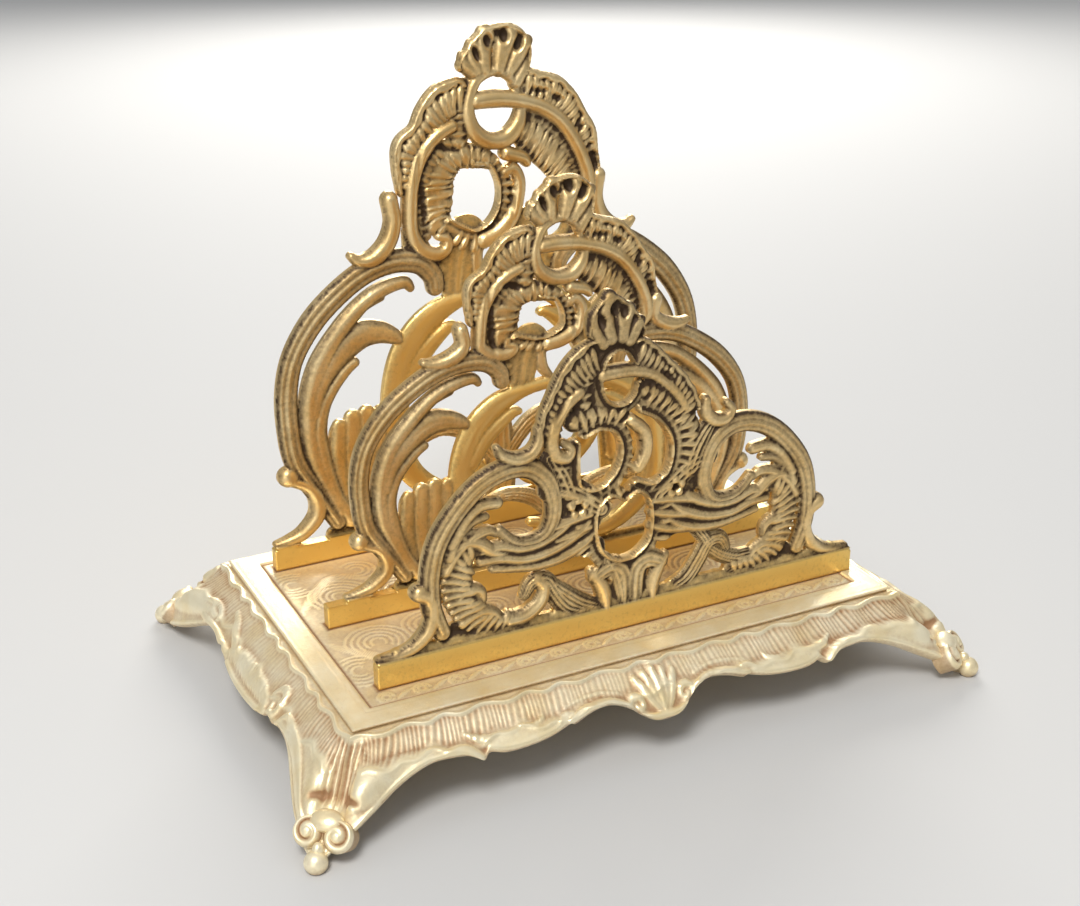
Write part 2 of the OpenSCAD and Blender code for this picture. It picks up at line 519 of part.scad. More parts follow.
front_middle_rims = [
  [[-1.7, 35.3, 1.5], [-5.5, 37.2, 1.6], [-9.8, 34.5, 1.7], [-11, 28.5, 1.8], [-9.3, 21.5, 1.9],
    [-5.5, 17.8, 2], [-1.5, 16.8, 2], [2.5, 17.8, 2], [6.3, 21.5, 1.9], [7.3, 27.5, 1.8],
    [6.3, 33.5, 1.7], [2.3, 37, 1.6], [-1.7, 35.3, 1.5]],
  [[-13, 53.5, 1.3], [-8.5, 55, 1.5], [-3.5, 53, 1.8], [-1.5, 48, 1.9], [-2.7, 42.5, 2],
    [-6.5, 38.3, 2], [-11, 37.3, 1.9], [-15, 40, 1.8], [-16, 46, 2], [-15.5, 51, 1.6]],
  [[0, 54.5, 1.6], [3.5, 51, 1.8], [4, 46, 1.8], [2, 42, 1.6], [0.5, 42.5, 1.1]],
  [[-14.5, 64, 1.7], [-18, 61.5, 1.9], [-20.5, 57.5, 1.9], [-21.5, 53, 1.9],
    [-20.5, 49.5, 1.9], [-17.5, 48.3, 1.7], [-16.3, 50.3, 1.3], [-18.3, 52, 1]],
  [[-24.8, 56.5, 1.2], [-25, 53.5, 1.6], [-27, 51, 1.8], [-30.5, 50.3, 1.8], [-34, 51.8, 1.5],
    [-35.3, 53.8, 1]],
  [[20.8, 56, 1.3], [21, 52.8, 1.7], [23.5, 50.3, 1.8], [26.5, 50.2, 1.7], [28.3, 52.3, 1.4],
    [27, 54.2, 1.1]],
  [[1, 69.5, 1], [-1, 72.5, 1.1], [-4, 73.7, 1.1], [-7.5, 72, 1.3], [-9.2, 68.5, 1.4],
    [-9.5, 64.5, 1.5], [-8, 60.5, 1.6], [-5, 58.2, 1.6], [-1.5, 58.2, 1.6], [1.3, 60.5, 1.5],
    [2, 63.5, 1.2]],
  [[-8, 67.2, 1.7], [-4, 67.4, 1.8], [0.5, 67, 1.7], [5, 65.5, 1.5], [9, 62.8, 1.5],
    [12.5, 59, 1.5], [14.7, 55.5, 1.4]]];
module front_panel() {
  drawn_w = 111;
  drawn_panel_h = 88;
  wide = front_w / drawn_w;
  stout = sqrt(wide * front_h / drawn_panel_h);
  heights = [[0, 0], [drawn_bar, bar_top], [drawn_panel_h, front_h]];
  color(gilt) {
    bar(front_place);
    pierced(front_place, fit(front_sides, wide, stout, heights),
      fit(front_side_rims, wide, stout, heights), fit(front_middles, wide, stout, heights),
      fit(front_middle_rims, wide, stout, heights), fit(front_plain, wide, stout, heights),
      fit(front_webs, wide, stout, heights));
  }
}

base();
front_panel();
middle_panel();
rear_panel();
screws();
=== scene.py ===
import math
import bpy
import numpy as np
from mathutils import Matrix, Vector


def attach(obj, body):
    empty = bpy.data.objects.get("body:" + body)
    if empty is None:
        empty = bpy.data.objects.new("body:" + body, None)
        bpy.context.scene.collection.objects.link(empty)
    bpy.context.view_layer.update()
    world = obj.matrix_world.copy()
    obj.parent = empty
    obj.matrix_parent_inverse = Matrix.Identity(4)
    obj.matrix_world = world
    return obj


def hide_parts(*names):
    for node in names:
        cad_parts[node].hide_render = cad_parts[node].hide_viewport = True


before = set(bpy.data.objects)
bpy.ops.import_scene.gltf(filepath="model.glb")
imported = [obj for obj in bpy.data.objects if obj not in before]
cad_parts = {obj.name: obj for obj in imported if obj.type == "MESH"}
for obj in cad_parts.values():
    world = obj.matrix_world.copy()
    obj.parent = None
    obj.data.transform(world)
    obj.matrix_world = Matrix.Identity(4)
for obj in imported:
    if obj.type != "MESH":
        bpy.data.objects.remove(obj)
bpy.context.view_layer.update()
MM = 0.001

PANEL_STEP, PLATE_STEP, SKIRT_STEP = ((0.35, 0.4, 0.36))
STROKE_STEP, ENGRAVING_STEP = 0.25, 0.2

# Base, in millimetres: its top, sunk field, border and plate, and the skirt round it
TOP_L, TOP_D, TOP_Z = 150.0, 95.2, 22.7
FIELD_Z, BORDER, PLATE_T = 22.3, 6.8, 3.0
FLARE, EDGE_Z, SKIRT_WALL = 16.6, 21.2, 2.4

# Panels: place along x, y of the front face and length of the bar
PLACES = {"front_panel": (4.0, -34.4, 135.0), "middle_panel": (2.2, -1.4, 132.0),
          "rear_panel": (2.2, 35.0, 135.0)}
# How far the back plane lies behind the front face, and the bar's seat and top over the base
BACK_PLANE, SEAT, BAR_TOP = 3.0, -0.4, 5.6
# The lugs' radius, how far behind the front face they stand, and how far apart
LUG_R, LUG_BACK, LUG_GAP = 2.6, 2.8, 92.0


# Materials

# Noise scales, per metre: patches of wear, specks of tarnish, grain of the casting
PATCHES, SPECKS, GRAIN = 90.0, 900.0, 1400.0


def nodes_of(name):
    mat = bpy.data.materials.new(name)
    mat.use_nodes = True
    tree = mat.node_tree
    return mat, tree, tree.nodes["Principled BSDF"]


def new_object(name, data):
    obj = bpy.data.objects.new(name, data)
    bpy.context.collection.objects.link(obj)
    return obj


def add(tree, kind, **values):
    node = tree.nodes.new(kind)
    for key, value in values.items():
        setattr(node, key, value)
    return node


def noise(tree, coords, scale, detail):
    node = add(tree, "ShaderNodeTexNoise")
    node.inputs["Scale"].default_value = scale
    node.inputs["Detail"].default_value = detail
    node.inputs["Roughness"].default_value = 0.6
    tree.links.new(coords.outputs["Object"], node.inputs["Vector"])
    return node.outputs["Fac"]


def ramp(tree, source, stops):
    node = add(tree, "ShaderNodeValToRGB")
    element = node.color_ramp.elements
    while len(element) < len(stops):
        element.new(0.5)
    for e, (place, colour) in zip(element, stops):
        e.position = place
        e.color = (*colour, 1.0)
    tree.links.new(source, node.inputs["Fac"])
    return node.outputs["Color"]


def math_node(tree, operation, *values):
    node = add(tree, "ShaderNodeMath", operation=operation)
    for socket, value in zip(node.inputs, values):
        if isinstance(value, (int, float)):
            socket.default_value = value
        else:
            tree.links.new(value, socket)
    return node.outputs[0]


def mix(tree, factor, a, b):
    """Mixes colour a with the plain colour b."""
    node = add(tree, "ShaderNodeMix", data_type="RGBA")
    tree.links.new(factor, node.inputs[0])
    tree.links.new(a, node.inputs[6])
    node.inputs[7].default_value = (*b, 1.0)
    return node.outputs[2]


def gilt(name, bright, deep, warm, tarnish, metal, rough, uneven):
    """Old gilt brass: worn bright on the heights, tarnished in the hollows, warm where plain. Its hollow
    attribute also holds painted shade and painted highlight.
    """
    mat, tree, bsdf = nodes_of(name)
    coords = add(tree, "ShaderNodeTexCoord")
    hollow = add(tree, "ShaderNodeAttribute", attribute_name="hollow").outputs["Fac"]
    plain = add(tree, "ShaderNodeAttribute", attribute_name="tone").outputs["Fac"]
    blotch = noise(tree, coords, PATCHES, 5.0)
    worn = ramp(tree, blotch, ((0.32, deep), (0.66, bright)))
    specks = math_node(tree, "SUBTRACT", noise(tree, coords, SPECKS, 4.0), 0.5)
    spread = math_node(tree, "ADD", hollow, math_node(tree, "MULTIPLY", specks, uneven))
    # Tarnish, together with the painted shade and painted highlight that the hollow attribute also holds
    tarnish_and_painted_light = ramp(tree, spread, ((0.12, (0, 0, 0)), (0.75, (1, 1, 1))))
    colour = mix(tree, tarnish_and_painted_light, mix(tree, plain, worn, warm), tarnish)
    tree.links.new(colour, bsdf.inputs["Base Color"])
    dull = math_node(tree, "MULTIPLY_ADD", tarnish_and_painted_light, 0.3, rough)
    dull = math_node(tree, "MULTIPLY_ADD", blotch, 0.12, dull)
    tree.links.new(dull, bsdf.inputs["Roughness"])
    shine = math_node(tree, "MULTIPLY_ADD", tarnish_and_painted_light, -0.45 * metal, metal)
    tree.links.new(shine, bsdf.inputs["Metallic"])
    rise = add(tree, "ShaderNodeBump")
    rise.inputs["Strength"].default_value = 0.25
    rise.inputs["Distance"].default_value = 0.00025
    tree.links.new(noise(tree, coords, GRAIN, 3.0), rise.inputs["Height"])
    tree.links.new(rise.outputs["Normal"], bsdf.inputs["Normal"])
    return mat


def screw_steel():
    mat, tree, bsdf = nodes_of("screw_steel")
    spots = noise(tree, add(tree, "ShaderNodeTexCoord"), 700.0, 4.0)
    tone = ramp(tree, spots, ((0.35, (0.28, 0.24, 0.2)), (0.65, (0.55, 0.53, 0.5))))
    tree.links.new(tone, bsdf.inputs["Base Color"])
    bsdf.inputs["Metallic"].default_value = 0.9
    bsdf.inputs["Roughness"].default_value = 0.42
    return mat


# Curves and reliefs

def step01(x, a, b):
    """Smooth step from 0 at a to 1 at b."""
    t = np.clip((x - a) / (b - a), 0, 1)
    return t * t * (3 - 2 * t)


def bump(x, at, width, power=2):
    """A smooth bump, 1 high, round a place."""
    return np.exp(-((x - at) / width) ** power)


def ripple(x):
    """A wave from 0 to 1 and back over each unit."""
    return 0.5 - 0.5 * np.cos(2 * np.pi * x)


def blur(grid, cells):
    """Two passes of a box blur along both axes."""
    for axis in (0, 1, 0, 1):
        pad = [(0, 0), (0, 0)]
        pad[axis] = (cells + 1, cells)
        total = np.cumsum(np.pad(grid, pad, mode="edge"), axis=axis)
        hi = np.take(total, range(2 * cells + 1, total.shape[axis]), axis=axis)
        lo = np.take(total, range(0, total.shape[axis] - 2 * cells - 1), axis=axis)
        grid = (hi - lo) / (2 * cells + 1)
    return grid


def curve(route, n=10):
    """Points of a smooth curve through a route of [x, height, half width]."""
    p = np.array(route, float)
    p = np.vstack([p[0], p, p[-1]])
    t = (np.arange(n) / n)[:, None]
    out = []
    for a, b, c, d in zip(p[:-3], p[1:-2], p[2:-1], p[3:]):
        out.append(0.5 * (2 * b + (c - a) * t + (2 * a - 5 * b + 4 * c - d) * t ** 2
                          + (3 * b - a - 3 * c + d) * t ** 3))
    return np.vstack(out + [p[-1:]])


# Share of a feather's length, and how full it is there
FEATHER = ((0, 0.75), (0.35, 1.0), (0.75, 1.25), (1, 0.7))


def feathers(route, pitch, start, end, lean, w, style="feather"):
    """Short strokes across a route, from start to end times its half width, as on rocaille."""
    pts = curve(route, 12)
    s = np.concatenate([[0], np.cumsum(np.hypot(*np.diff(pts[:, :2], axis=0).T))])
    strokes = []
    for at in np.arange(0.5 * pitch, s[-1], pitch):
        x, z, half = (np.interp(at, s, pts[:, k]) for k in range(3))
        tx, tz = (np.interp(at + 0.2, s, pts[:, k]) - np.interp(at - 0.2, s, pts[:, k])
                  for k in range(2))
        size = math.hypot(tx, tz)
        tx, tz = tx / size, tz / size
        reach = end + 0.16 * math.sin(2.4 * at) + 0.1 * math.sin(5.3 * at)
        stroke = []
        for share, swell in FEATHER:
            off, along = half * (start + share * (reach - start)), half * lean * share ** 2
            stroke.append([x - off * tz + along * tx, z + off * tx + along * tz, w * swell])
        strokes.append(stroke)
    return (style, *strokes)


def rim(route, share, w):
    """A thin waving stroke along one side of a route, share times its half width away."""
    pts = curve(route, 4)
    run = np.gradient(pts[:, :2], axis=0)
    run = run / np.hypot(run[:, 0], run[:, 1])[:, None]
    off = pts[:, 2] * (share + 0.1 * np.sin(1.7 * np.arange(len(pts))))
    return ("rim", np.stack([pts[:, 0] - off * run[:, 1], pts[:, 1] + off * run[:, 0],
                             np.full(len(pts), w)], axis=1))


# How a scroll is carved, in millimetres: the height of its edge, its dome and finer work. A
# tone above 0 keeps it plain and clean, and one below 0 adds patina.
STYLES = {
    "rod": dict(base=1.3, dome=2.3, power=0.6),
    "ring": dict(base=1.3, dome=2.0, power=0.6),
    "band": dict(base=1.4, dome=1.8, power=0.6, hair=0.4, hairs=1.5, tone=-1.0),
    "rib": dict(base=1.2, dome=1.7, power=0.8, tone=-0.4),
    "leaf": dict(base=1.2, dome=1.5, power=0.7, hair=0.3, hairs=2.0),
    "hair": dict(base=1.1, dome=1.5, power=0.7, hair=0.55, hairs=2.5),
    "shell": dict(base=1.0, dome=1.3, power=0.6, rib=0.8, pitch=2.1, slant=0.25),
    "lip_l": dict(base=0.9, dome=0.8, rib=0.8, pitch=2.2, slant=0.3, lip=1.0),
    "curl": dict(base=1.2, dome=2.1, power=0.6, hair=0.35, hairs=1.0),
    "flute": dict(base=1.05, dome=0.85, power=0.4, rib=0.6, pitch=2.1, slant=0.0),
    "web": dict(base=1.0, dome=0.8, power=0.6, hair=0.3, hairs=1.5, tone=0.45),
    "fan": dict(base=1.4, dome=0.9, power=0.4),
    "dome": dict(base=1.5, dome=1.2, power=1.0, tone=0.75),
    "flat": dict(base=1.1, dome=0.15, tone=0.6),
    "feather": dict(base=1.5, dome=2.4, power=0.7),
    "rim_l": dict(base=1.25, dome=1.0, power=0.6, lip=1.0),
    "rim_r": dict(base=1.25, dome=1.0, power=0.6, lip=-1.0),
    "ray": dict(base=1.35, dome=2.4, power=0.7),
    "rim": dict(base=1.5, dome=2.9, power=0.6),
    "bead": dict(base=1.6, dome=1.2, power=0.6, tone=0.4),
    "scallop": dict(base=1.3, dome=0.8, power=0.6, tone=0.3),
    "sunk": dict(base=0.8, dome=0.25),
    "rose": dict(base=1.6, dome=2.6),
    "roll": dict(base=0.08, dome=1.9),
    "lobe": dict(base=0.0, dome=0.9, power=0.9),
    "hatched": dict(base=0.0, dome=1.0, power=0.8, rib=0.3, pitch=1.4, slant=0.5),
    "sweep": dict(base=0.0, dome=1.3, power=0.6, rim=0.1),
    "line": dict(base=0.0, dome=1.1),
    "petal": dict(base=0.1, dome=1.7, hair=0.25, hairs=1.5),
    "combed": dict(base=0.0, dome=0.3, hair=0.2, hairs=3.5),
}


# Half width from which a scroll has its full height
FULL_HALF = 2.2


def carve(q, side, s, w, base, dome, power=0.5, rim=0.0, hair=0.0, hairs=3.0, rib=0.0, pitch=1.8,
          slant=0.5, lip=0.0):
    """Height across a scroll: q is 0 on its line and 1 at its edge, s runs along it."""
    inner = np.maximum(0.0, 1.0 - q * q)
    size = np.minimum(1.0, w / FULL_HALF)
    h = base + dome * size * inner ** power
    if rim:   # a raised line near both edges
        h = h + rim * bump(q, 0.82, 0.13)
    if hair:   # grooves along the scroll
        h = h - hair * size * inner ** 0.5 * ripple(hairs * side)
    flat = 0.0
    if lip:   # a turned-up edge on one side, with a hollow before it
        flat = bump(side * lip, 0.72, 0.26)
        h = h + 1.25 * flat - 0.35 * bump(side * lip, 0.15, 0.3)
    if rib:   # flutes across the scroll that drift and fade on the lip
        drift = 0.5 * np.sin(0.9 * s) + 0.3 * np.sin(2.3 * s + 1.0)
        wave = ripple((s + drift + slant * w * side) / pitch)
        h = h - rib * size * wave ** 0.8 * (0.45 + 0.55 * q) * (1 - 0.85 * flat)
    return h


# Height at which a carved edge meets its wall, and marks of points that no scroll comes near
WALL_TOP = 1.3
OUTSIDE, FAR = -99.0, 9.0
# How far round a point its depth is judged, how much that counts, and what level work has
HOLLOW_REACH, HOLLOW_GAIN, LEVEL_HOLLOW = 1.3, 1.3, 0.17


class Relief:
    """A height field over a flat grid, with the outline as a signed distance."""

    def __init__(self, x0, x1, z0, z1, step):
        self.step = step
        self.x = np.arange(x0, x1 + step, step)
        self.z = np.arange(z0, z1 + step, step)
        shape = (len(self.z), len(self.x))
        self.inside = np.full(shape, OUTSIDE)
        self.height = np.zeros(shape)
        self.wall = np.full(shape, WALL_TOP)
        self.tone = np.zeros(shape)

    def window(self, x0, x1, z0, z1):
        """The part of the grid that covers a box, and its points."""
        i0, i1 = np.searchsorted(self.z, (z0, z1))
        j0, j1 = np.searchsorted(self.x, (x0, x1))
        win = slice(max(i0 - 1, 0), i1 + 1), slice(max(j0 - 1, 0), j1 + 1)
        return win, *np.meshgrid(self.x[win[1]], self.z[win[0]])

    def scroll(self, route, style, flip=False, solid=True):
        """Carves a scroll along a route. A solid one adds to the outline too."""
        pts = curve(route)
        values = dict(STYLES[style])
        tone = values.pop("tone", 0.0)
        if flip:
            pts = pts * (-1, 1, 1)
            values["lip"] = -values.get("lip", 0.0)
            values["slant"] = -values.get("slant", 0.5)
        margin = pts[:, 2].max() + 3 * self.step
        lo, hi = pts.min(axis=0) - margin, pts.max(axis=0) + margin
        win, X, Z = self.window(lo[0], hi[0], lo[1], hi[1])
        best = np.full(X.shape, FAR)
        side, along, wide = np.zeros(X.shape), np.zeros(X.shape), np.ones(X.shape)
        s = 0.0
        for a, b in zip(pts[:-1], pts[1:]):
            run = b[:2] - a[:2]
            length = math.hypot(*run)
            if length < 1e-6:
                continue
            reach = max(a[2], b[2]) * 1.3 + 2 * self.step
            i0, i1 = np.searchsorted(Z[:, 0], (min(a[1], b[1]) - reach, max(a[1], b[1]) + reach))
            j0, j1 = np.searchsorted(X[0], (min(a[0], b[0]) - reach, max(a[0], b[0]) + reach))
            cut = (slice(i0, i1), slice(j0, j1))
            dx, dz = X[cut] - a[0], Z[cut] - a[1]
            t = np.clip((dx * run[0] + dz * run[1]) / length ** 2, 0, 1)
            ex, ez = dx - t * run[0], dz - t * run[1]
            w = a[2] + t * (b[2] - a[2])
            q = np.hypot(ex, ez) / w
            near = q < best[cut]
            turn = np.sign(run[0] * ez - run[1] * ex)
            for field, value in ((best, q), (wide, w), (along, s + t * length), (side, turn * q)):
                field[cut] = np.where(near, value, field[cut])
            s += length
        h = carve(np.clip(best, 0, 1), np.clip(side, -1, 1), along, wide, **values)
        # The height goes on a little beyond the edge, so that the outline cuts through it
        raised = (best < 1.0 + 1.5 * self.step / wide) & (h > self.height[win])
        self.tone[win] = np.where(raised, tone, self.tone[win])
        self.height[win] = np.where(raised, h, self.height[win])
        if solid:
            within = np.where(best < FAR - 1, wide * (1.0 - best), OUTSIDE)
            self.inside[win] = np.maximum(self.inside[win], within)

    def bar(self, half_l, z0, z1, thick):
        """A plain bar with crisp edges."""
        X, Z = np.meshgrid(self.x, self.z)
        within = np.minimum(half_l - np.abs(X), np.minimum(Z - z0, z1 - Z))
        raised = (within > -1.5 * self.step) & (thick > self.height)
        self.tone = np.where(raised, 1.0, self.tone)
        self.height = np.where(raised, thick, self.height)
        self.wall = np.where(within > self.inside, thick - 0.12, self.wall)
        self.inside = np.maximum(self.inside, within)

    def dig(self, x, z, rx, rz, depth, lean):
        """A rounded hollow, leaning by an angle in degrees."""
        reach = 3 * max(rx, rz)
        win, X, Z = self.window(x - reach, x + reach, z - reach, z + reach)
        c, s = math.cos(math.radians(lean)), math.sin(math.radians(lean))
        u, v = ((X - x) * c + (Z - z) * s) / rx, ((Z - z) * c - (X - x) * s) / rz
        dug = self.height[win] - depth * np.exp(-(u * u + v * v) ** 1.5)
        self.height[win] = np.maximum(dug, np.minimum(self.height[win], 0.55))

    def hollows(self):
        """How deep each point lies below what is round it, from 0 to 1."""
        mask = (self.inside > 0).astype(float)
        depth = 0.0
        for reach, share in ((HOLLOW_REACH, 0.65), (3 * HOLLOW_REACH, 0.35)):
            cells = max(1, int(reach / self.step))
            around = blur(self.height * mask, cells) / np.maximum(blur(mask, cells), 1e-3)
            depth = depth + share * (around - self.height)
        worn_edge = 0.25 + 0.75 * step01(self.inside, 0.1, 1.3)
        return np.clip(LEVEL_HOLLOW + depth * HOLLOW_GAIN * worn_edge, 0, 1)


# Faces of a grid cell for each pattern of its corners that lie inside. a, b, c and d are the
# corners, counted from the lower left, and e, f, g and h the sides ab, bc, cd and da.
CASES = {1: ["aeh"], 2: ["bfe"], 3: ["abfh"], 4: ["cgf"], 5: ["aeh", "cgf"], 6: ["bcge"],
         7: ["abcgh"], 8: ["dhg"], 9: ["aegd"], 10: ["bfe", "dhg"], 11: ["abfgd"],
         12: ["cdhf"], 13: ["aefcd"], 14: ["bcdhe"], 15: ["abcd"]}
# The back is a little hollow, down to this depth from this far inside the outline
BACK_HOLLOW, BACK_SLOPE = 0.45, 2.5
# Heights between which a crest grows darker, and how hollow the back counts
CREST, BACK_SHADE = (42, 72), 0.18


def pierced_mesh(name, relief, face_y, dark):
    """Closed mesh of a relief: its carved front, its back and the walls of its openings."""
    gain, least, crest, patina = dark
    hollow = relief.hollows()
    F = relief.inside.copy()
    # No point lies so near the outline that its cell becomes a sliver
    F[np.abs(F) < 0.03 * relief.step] = -0.03 * relief.step
    F[[0, -1], :] = F[:, [0, -1]] = -1.0
    inside = F > 0
    rows, cols = F.shape
    X, Z = np.meshgrid(relief.x, relief.z)
    count = inner = int(inside.sum())
    node_id = np.full(F.shape, -1)
    node_id[inside] = np.arange(count)
    back_y = face_y + BACK_PLANE
    back = BACK_HOLLOW * step01(relief.inside, 0, BACK_SLOPE)
    px, pz = [X[inside]], [Z[inside]]
    front, rear = [back_y - relief.height[inside]], [back_y - back[inside]]
    tint, tones = [hollow[inside]], [relief.tone[inside]]
    ids = []
    for shift in ((0, 1), (1, 0)):
        A = (slice(0, rows - shift[0]), slice(0, cols - shift[1]))
        B = (slice(shift[0], rows), slice(shift[1], cols))
        cross = inside[A] != inside[B]
        t = (F[A] / np.where(cross, F[A] - F[B], 1.0))[cross]
        ident = np.full(F.shape, -1)
        ident[A][cross] = count + np.arange(len(t))
        count += len(t)
        ids.append(ident)
        px.append(X[A][cross] + t * (X[B] - X[A])[cross])
        pz.append(Z[A][cross] + t * (Z[B] - Z[A])[cross])
        tall, wall, tarnish_and_painted_light, tone = (
            np.where(inside[A][cross], grid[A][cross], grid[B][cross])
            for grid in (relief.height, relief.wall, hollow, relief.tone))
        front.append(back_y - np.minimum(tall, wall))
        rear.append(np.full(len(t), back_y))
        # Painted highlight: points on the outline take only a little of the tarnish, so every edge of
        # the openings shows lighter
        tint.append(0.15 * tarnish_and_painted_light + 0.1)
        tones.append(tone)
    level, upright = ids
    corner = dict(a=node_id[:-1, :-1], b=node_id[:-1, 1:], c=node_id[1:, 1:], d=node_id[1:, :-1],
                  e=level[:-1, :-1], f=upright[:-1, 1:], g=level[1:, :-1], h=upright[:-1, :-1])
    code = inside[:-1, :-1] * 1 + inside[:-1, 1:] * 2 + inside[1:, 1:] * 4 + inside[1:, :-1] * 8
    faces = []
    for case, shapes in CASES.items():
        here = code == case
        for shape in shapes:
            ring = np.stack([corner[k][here] for k in shape], axis=1)
            faces += ring.tolist()
            faces += (ring[:, ::-1] + count).tolist()
            for k in range(len(shape)):
                if shape[k] in "efgh" and shape[k - 1] in "efgh":
                    p, q = ring[:, k - 1], ring[:, k]
                    faces += np.stack([q, p, p + count, q + count], axis=1).tolist()
    px, pz, front, rear, tint, tones = map(np.concatenate, (px, pz, front, rear, tint, tones))
    verts = np.concatenate([np.stack([px, front, pz], 1), np.stack([px, rear, pz], 1)])
    shade = tint * gain + least + crest * step01(pz, *CREST) + patina * np.maximum(-tones, 0)
    tones = np.maximum(tones, 0)
    shade = np.clip(shade, 0, 1) * (1 - 0.6 * tones)
    shade = np.concatenate([shade, np.full(count, BACK_SHADE)])
    obj = build(name, verts, faces, shade, 70, np.concatenate([tones, 0.5 + 0.5 * tones]))
    crisp_outline(obj.data, inner, count)
    return obj


def crisp_outline(mesh, inner, count):
    """Sharp edges along the outlines of front and back, and smooth walls between them."""
    ends, sharp = np.zeros(2 * len(mesh.edges), int), np.zeros(len(mesh.edges), bool)
    mesh.edges.foreach_get("vertices", ends)
    mesh.edges.foreach_get("use_edge_sharp", sharp)
    a, b = ends[0::2], ends[1::2]
    outline = ((a % count) >= inner) & ((b % count) >= inner)
    wall = np.abs(a - b) == count
    across = outline & ~wall & ((a < count) != (b < count))
    mesh.edges.foreach_set("use_edge_sharp", (sharp | outline) & ~wall & ~across)


def build(name, verts, faces, shade, sharp, tone=0.0):
    """A new object, with how hollow each point is (tarnish, and in places painted shade and painted
    highlight), how plain it is, and its sharp angle in degrees.
    """
    mesh = bpy.data.meshes.new(name)
    mesh.from_pydata((np.asarray(verts) * MM).tolist(), [], faces)
    mesh.validate()
    mesh.shade_smooth()
    mesh.set_sharp_from_angle(angle=math.radians(sharp))
    for key, values in (("hollow", shade), ("tone", tone)):
        layer = mesh.attributes.new(key, "FLOAT", "POINT")
        layer.data.foreach_set("value", np.zeros(len(mesh.vertices)) + values)
    return new_object(name, mesh)


# Panels. Each entry is a style and the routes of its scrolls, and a route is a list of
# [x, height, half width]. The sides are mirrored, and the crown is not.

TALL_SIDES = [
    ("flat",
     [[-42, 6, 4], [-45, 22, 4.5], [-46.5, 33, 3.5], [-46.8, 36, 2.5]],
     [[-40, 6, 4], [-40.5, 25, 4.5], [-41, 37, 3]],
     [[-37, 6, 4], [-35.5, 25, 4], [-35, 37, 2.5]]),
    ("scallop",
     [[-46, 14, 2], [-47.5, 26, 2.2], [-46.8, 37, 2]],
     [[-43, 14, 2.6], [-43.5, 27, 2.8], [-43, 38.6, 2.4]],
     [[-40, 14, 2.6], [-39.5, 27, 2.8], [-39, 39.2, 2.4]],
     [[-36.5, 14, 2.6], [-35.5, 27, 2.8], [-35, 38.6, 2.4]]),
    ("dome",
     [[0, 68.5, 2], [-9, 67.5, 2], [-16, 65.5, 3], [-22, 61.5, 3.8], [-27, 55, 4.2], [-29.8, 47, 4.2],
      [-31, 38, 4], [-30.5, 29, 3.8], [-27, 20, 3.4], [-20, 13.5, 3], [-12, 11, 2.6], [-7, 13.5, 2.2],
      [-6.5, 17.5, 1.8], [-9.5, 19, 1.4]],
     [[-28, 45, 3], [-24, 52, 3], [-19, 57, 2.5], [-15, 59.8, 1.8], [-13, 60, 1.2]]),
    ("rib",
     [[-48, 13, 3], [-54, 29, 3.2], [-55, 42, 3.2], [-52, 54, 3], [-45, 64, 2.6], [-38, 70.5, 2.2],
      [-32, 73.3, 2], [-27, 74, 1.7], [-25.3, 72.3, 1.2]],
     [[-53, 50, 2.5], [-48, 59.5, 2.2], [-43, 66, 1.9], [-38.5, 69.3, 1.6], [-33.6, 70.8, 1]],
     [[-54, 42, 3], [-51.5, 50, 3.2], [-46, 57.3, 3.8], [-40, 61.3, 3.8], [-35, 61.5, 3.1],
      [-31, 60, 2.3], [-29, 58.5, 1.5]],
     [[-45, 9.5, 2.5], [-49.3, 18, 2.6], [-51.8, 27, 2.6], [-53, 36, 2.6], [-51.5, 43, 2.3],
      [-48.3, 48.3, 2], [-44.5, 52.5, 1.8], [-41.8, 54.2, 1.4]]),
    ("band",
     [[-49, 10, 2.5], [-54, 19, 3], [-59.5, 29, 3], [-61, 39, 3], [-60.8, 49, 3], [-58.5, 58, 3],
      [-53, 66.5, 3.2], [-46, 73, 3.2], [-38, 78, 3.2], [-30, 80, 3.2], [-23, 79, 3.2], [-19, 75, 2.8],
      [-18.3, 71.5, 2.4]]),
    ("rod",
     [[-62, 25.5, 2.9], [-60.5, 24, 1.8], [-56.5, 21.5, 2], [-54.3, 17, 2.4], [-55, 12.5, 2.4],
      [-59, 8.5, 2], [-63, 7, 1.5], [-66.5, 6.5, 0.9]],
     [[-30.3, 96.3, 2.3], [-29.6, 90.5, 2.3], [-31.3, 85.3, 2.5], [-35, 81.8, 2.4], [-39, 81.3, 1.7],
      [-41.3, 82.8, 1.1]]),
    ("hair", [[-2, 20, 2.5], [-9, 28, 2.6], [-17, 31, 2.2], [-24, 29, 1.8]]),
    ("web", [[-12, 69, 4], [-11, 77, 4.8], [-9, 84, 6]], [[-16, 76, 4], [-22, 80, 4], [-24, 87, 3]]),
    ("leaf",
     [[-3, 70, 1.2], [-5.5, 74, 1.8], [-6, 79, 1.8], [-4, 83, 1.2]],
     [[0, 5, 4], [0, 16, 5], [0, 27, 4], [0, 36, 2.5]]),
    ("flat", [[-50, 6, 2.2], [-25, 6, 2.2], [0, 6, 2.5]]),
]
TALL_OVAL = [
    [-6, 104, 1.2], [-1.5, 103.3, 1.6], [1, 99.5, 1.8], [1.8, 95, 1.7], [1, 90, 1.9], [-2, 86, 1.9],
    [-6.5, 84.3, 1.7], [-11, 86, 1.8], [-14, 88, 1.8]]
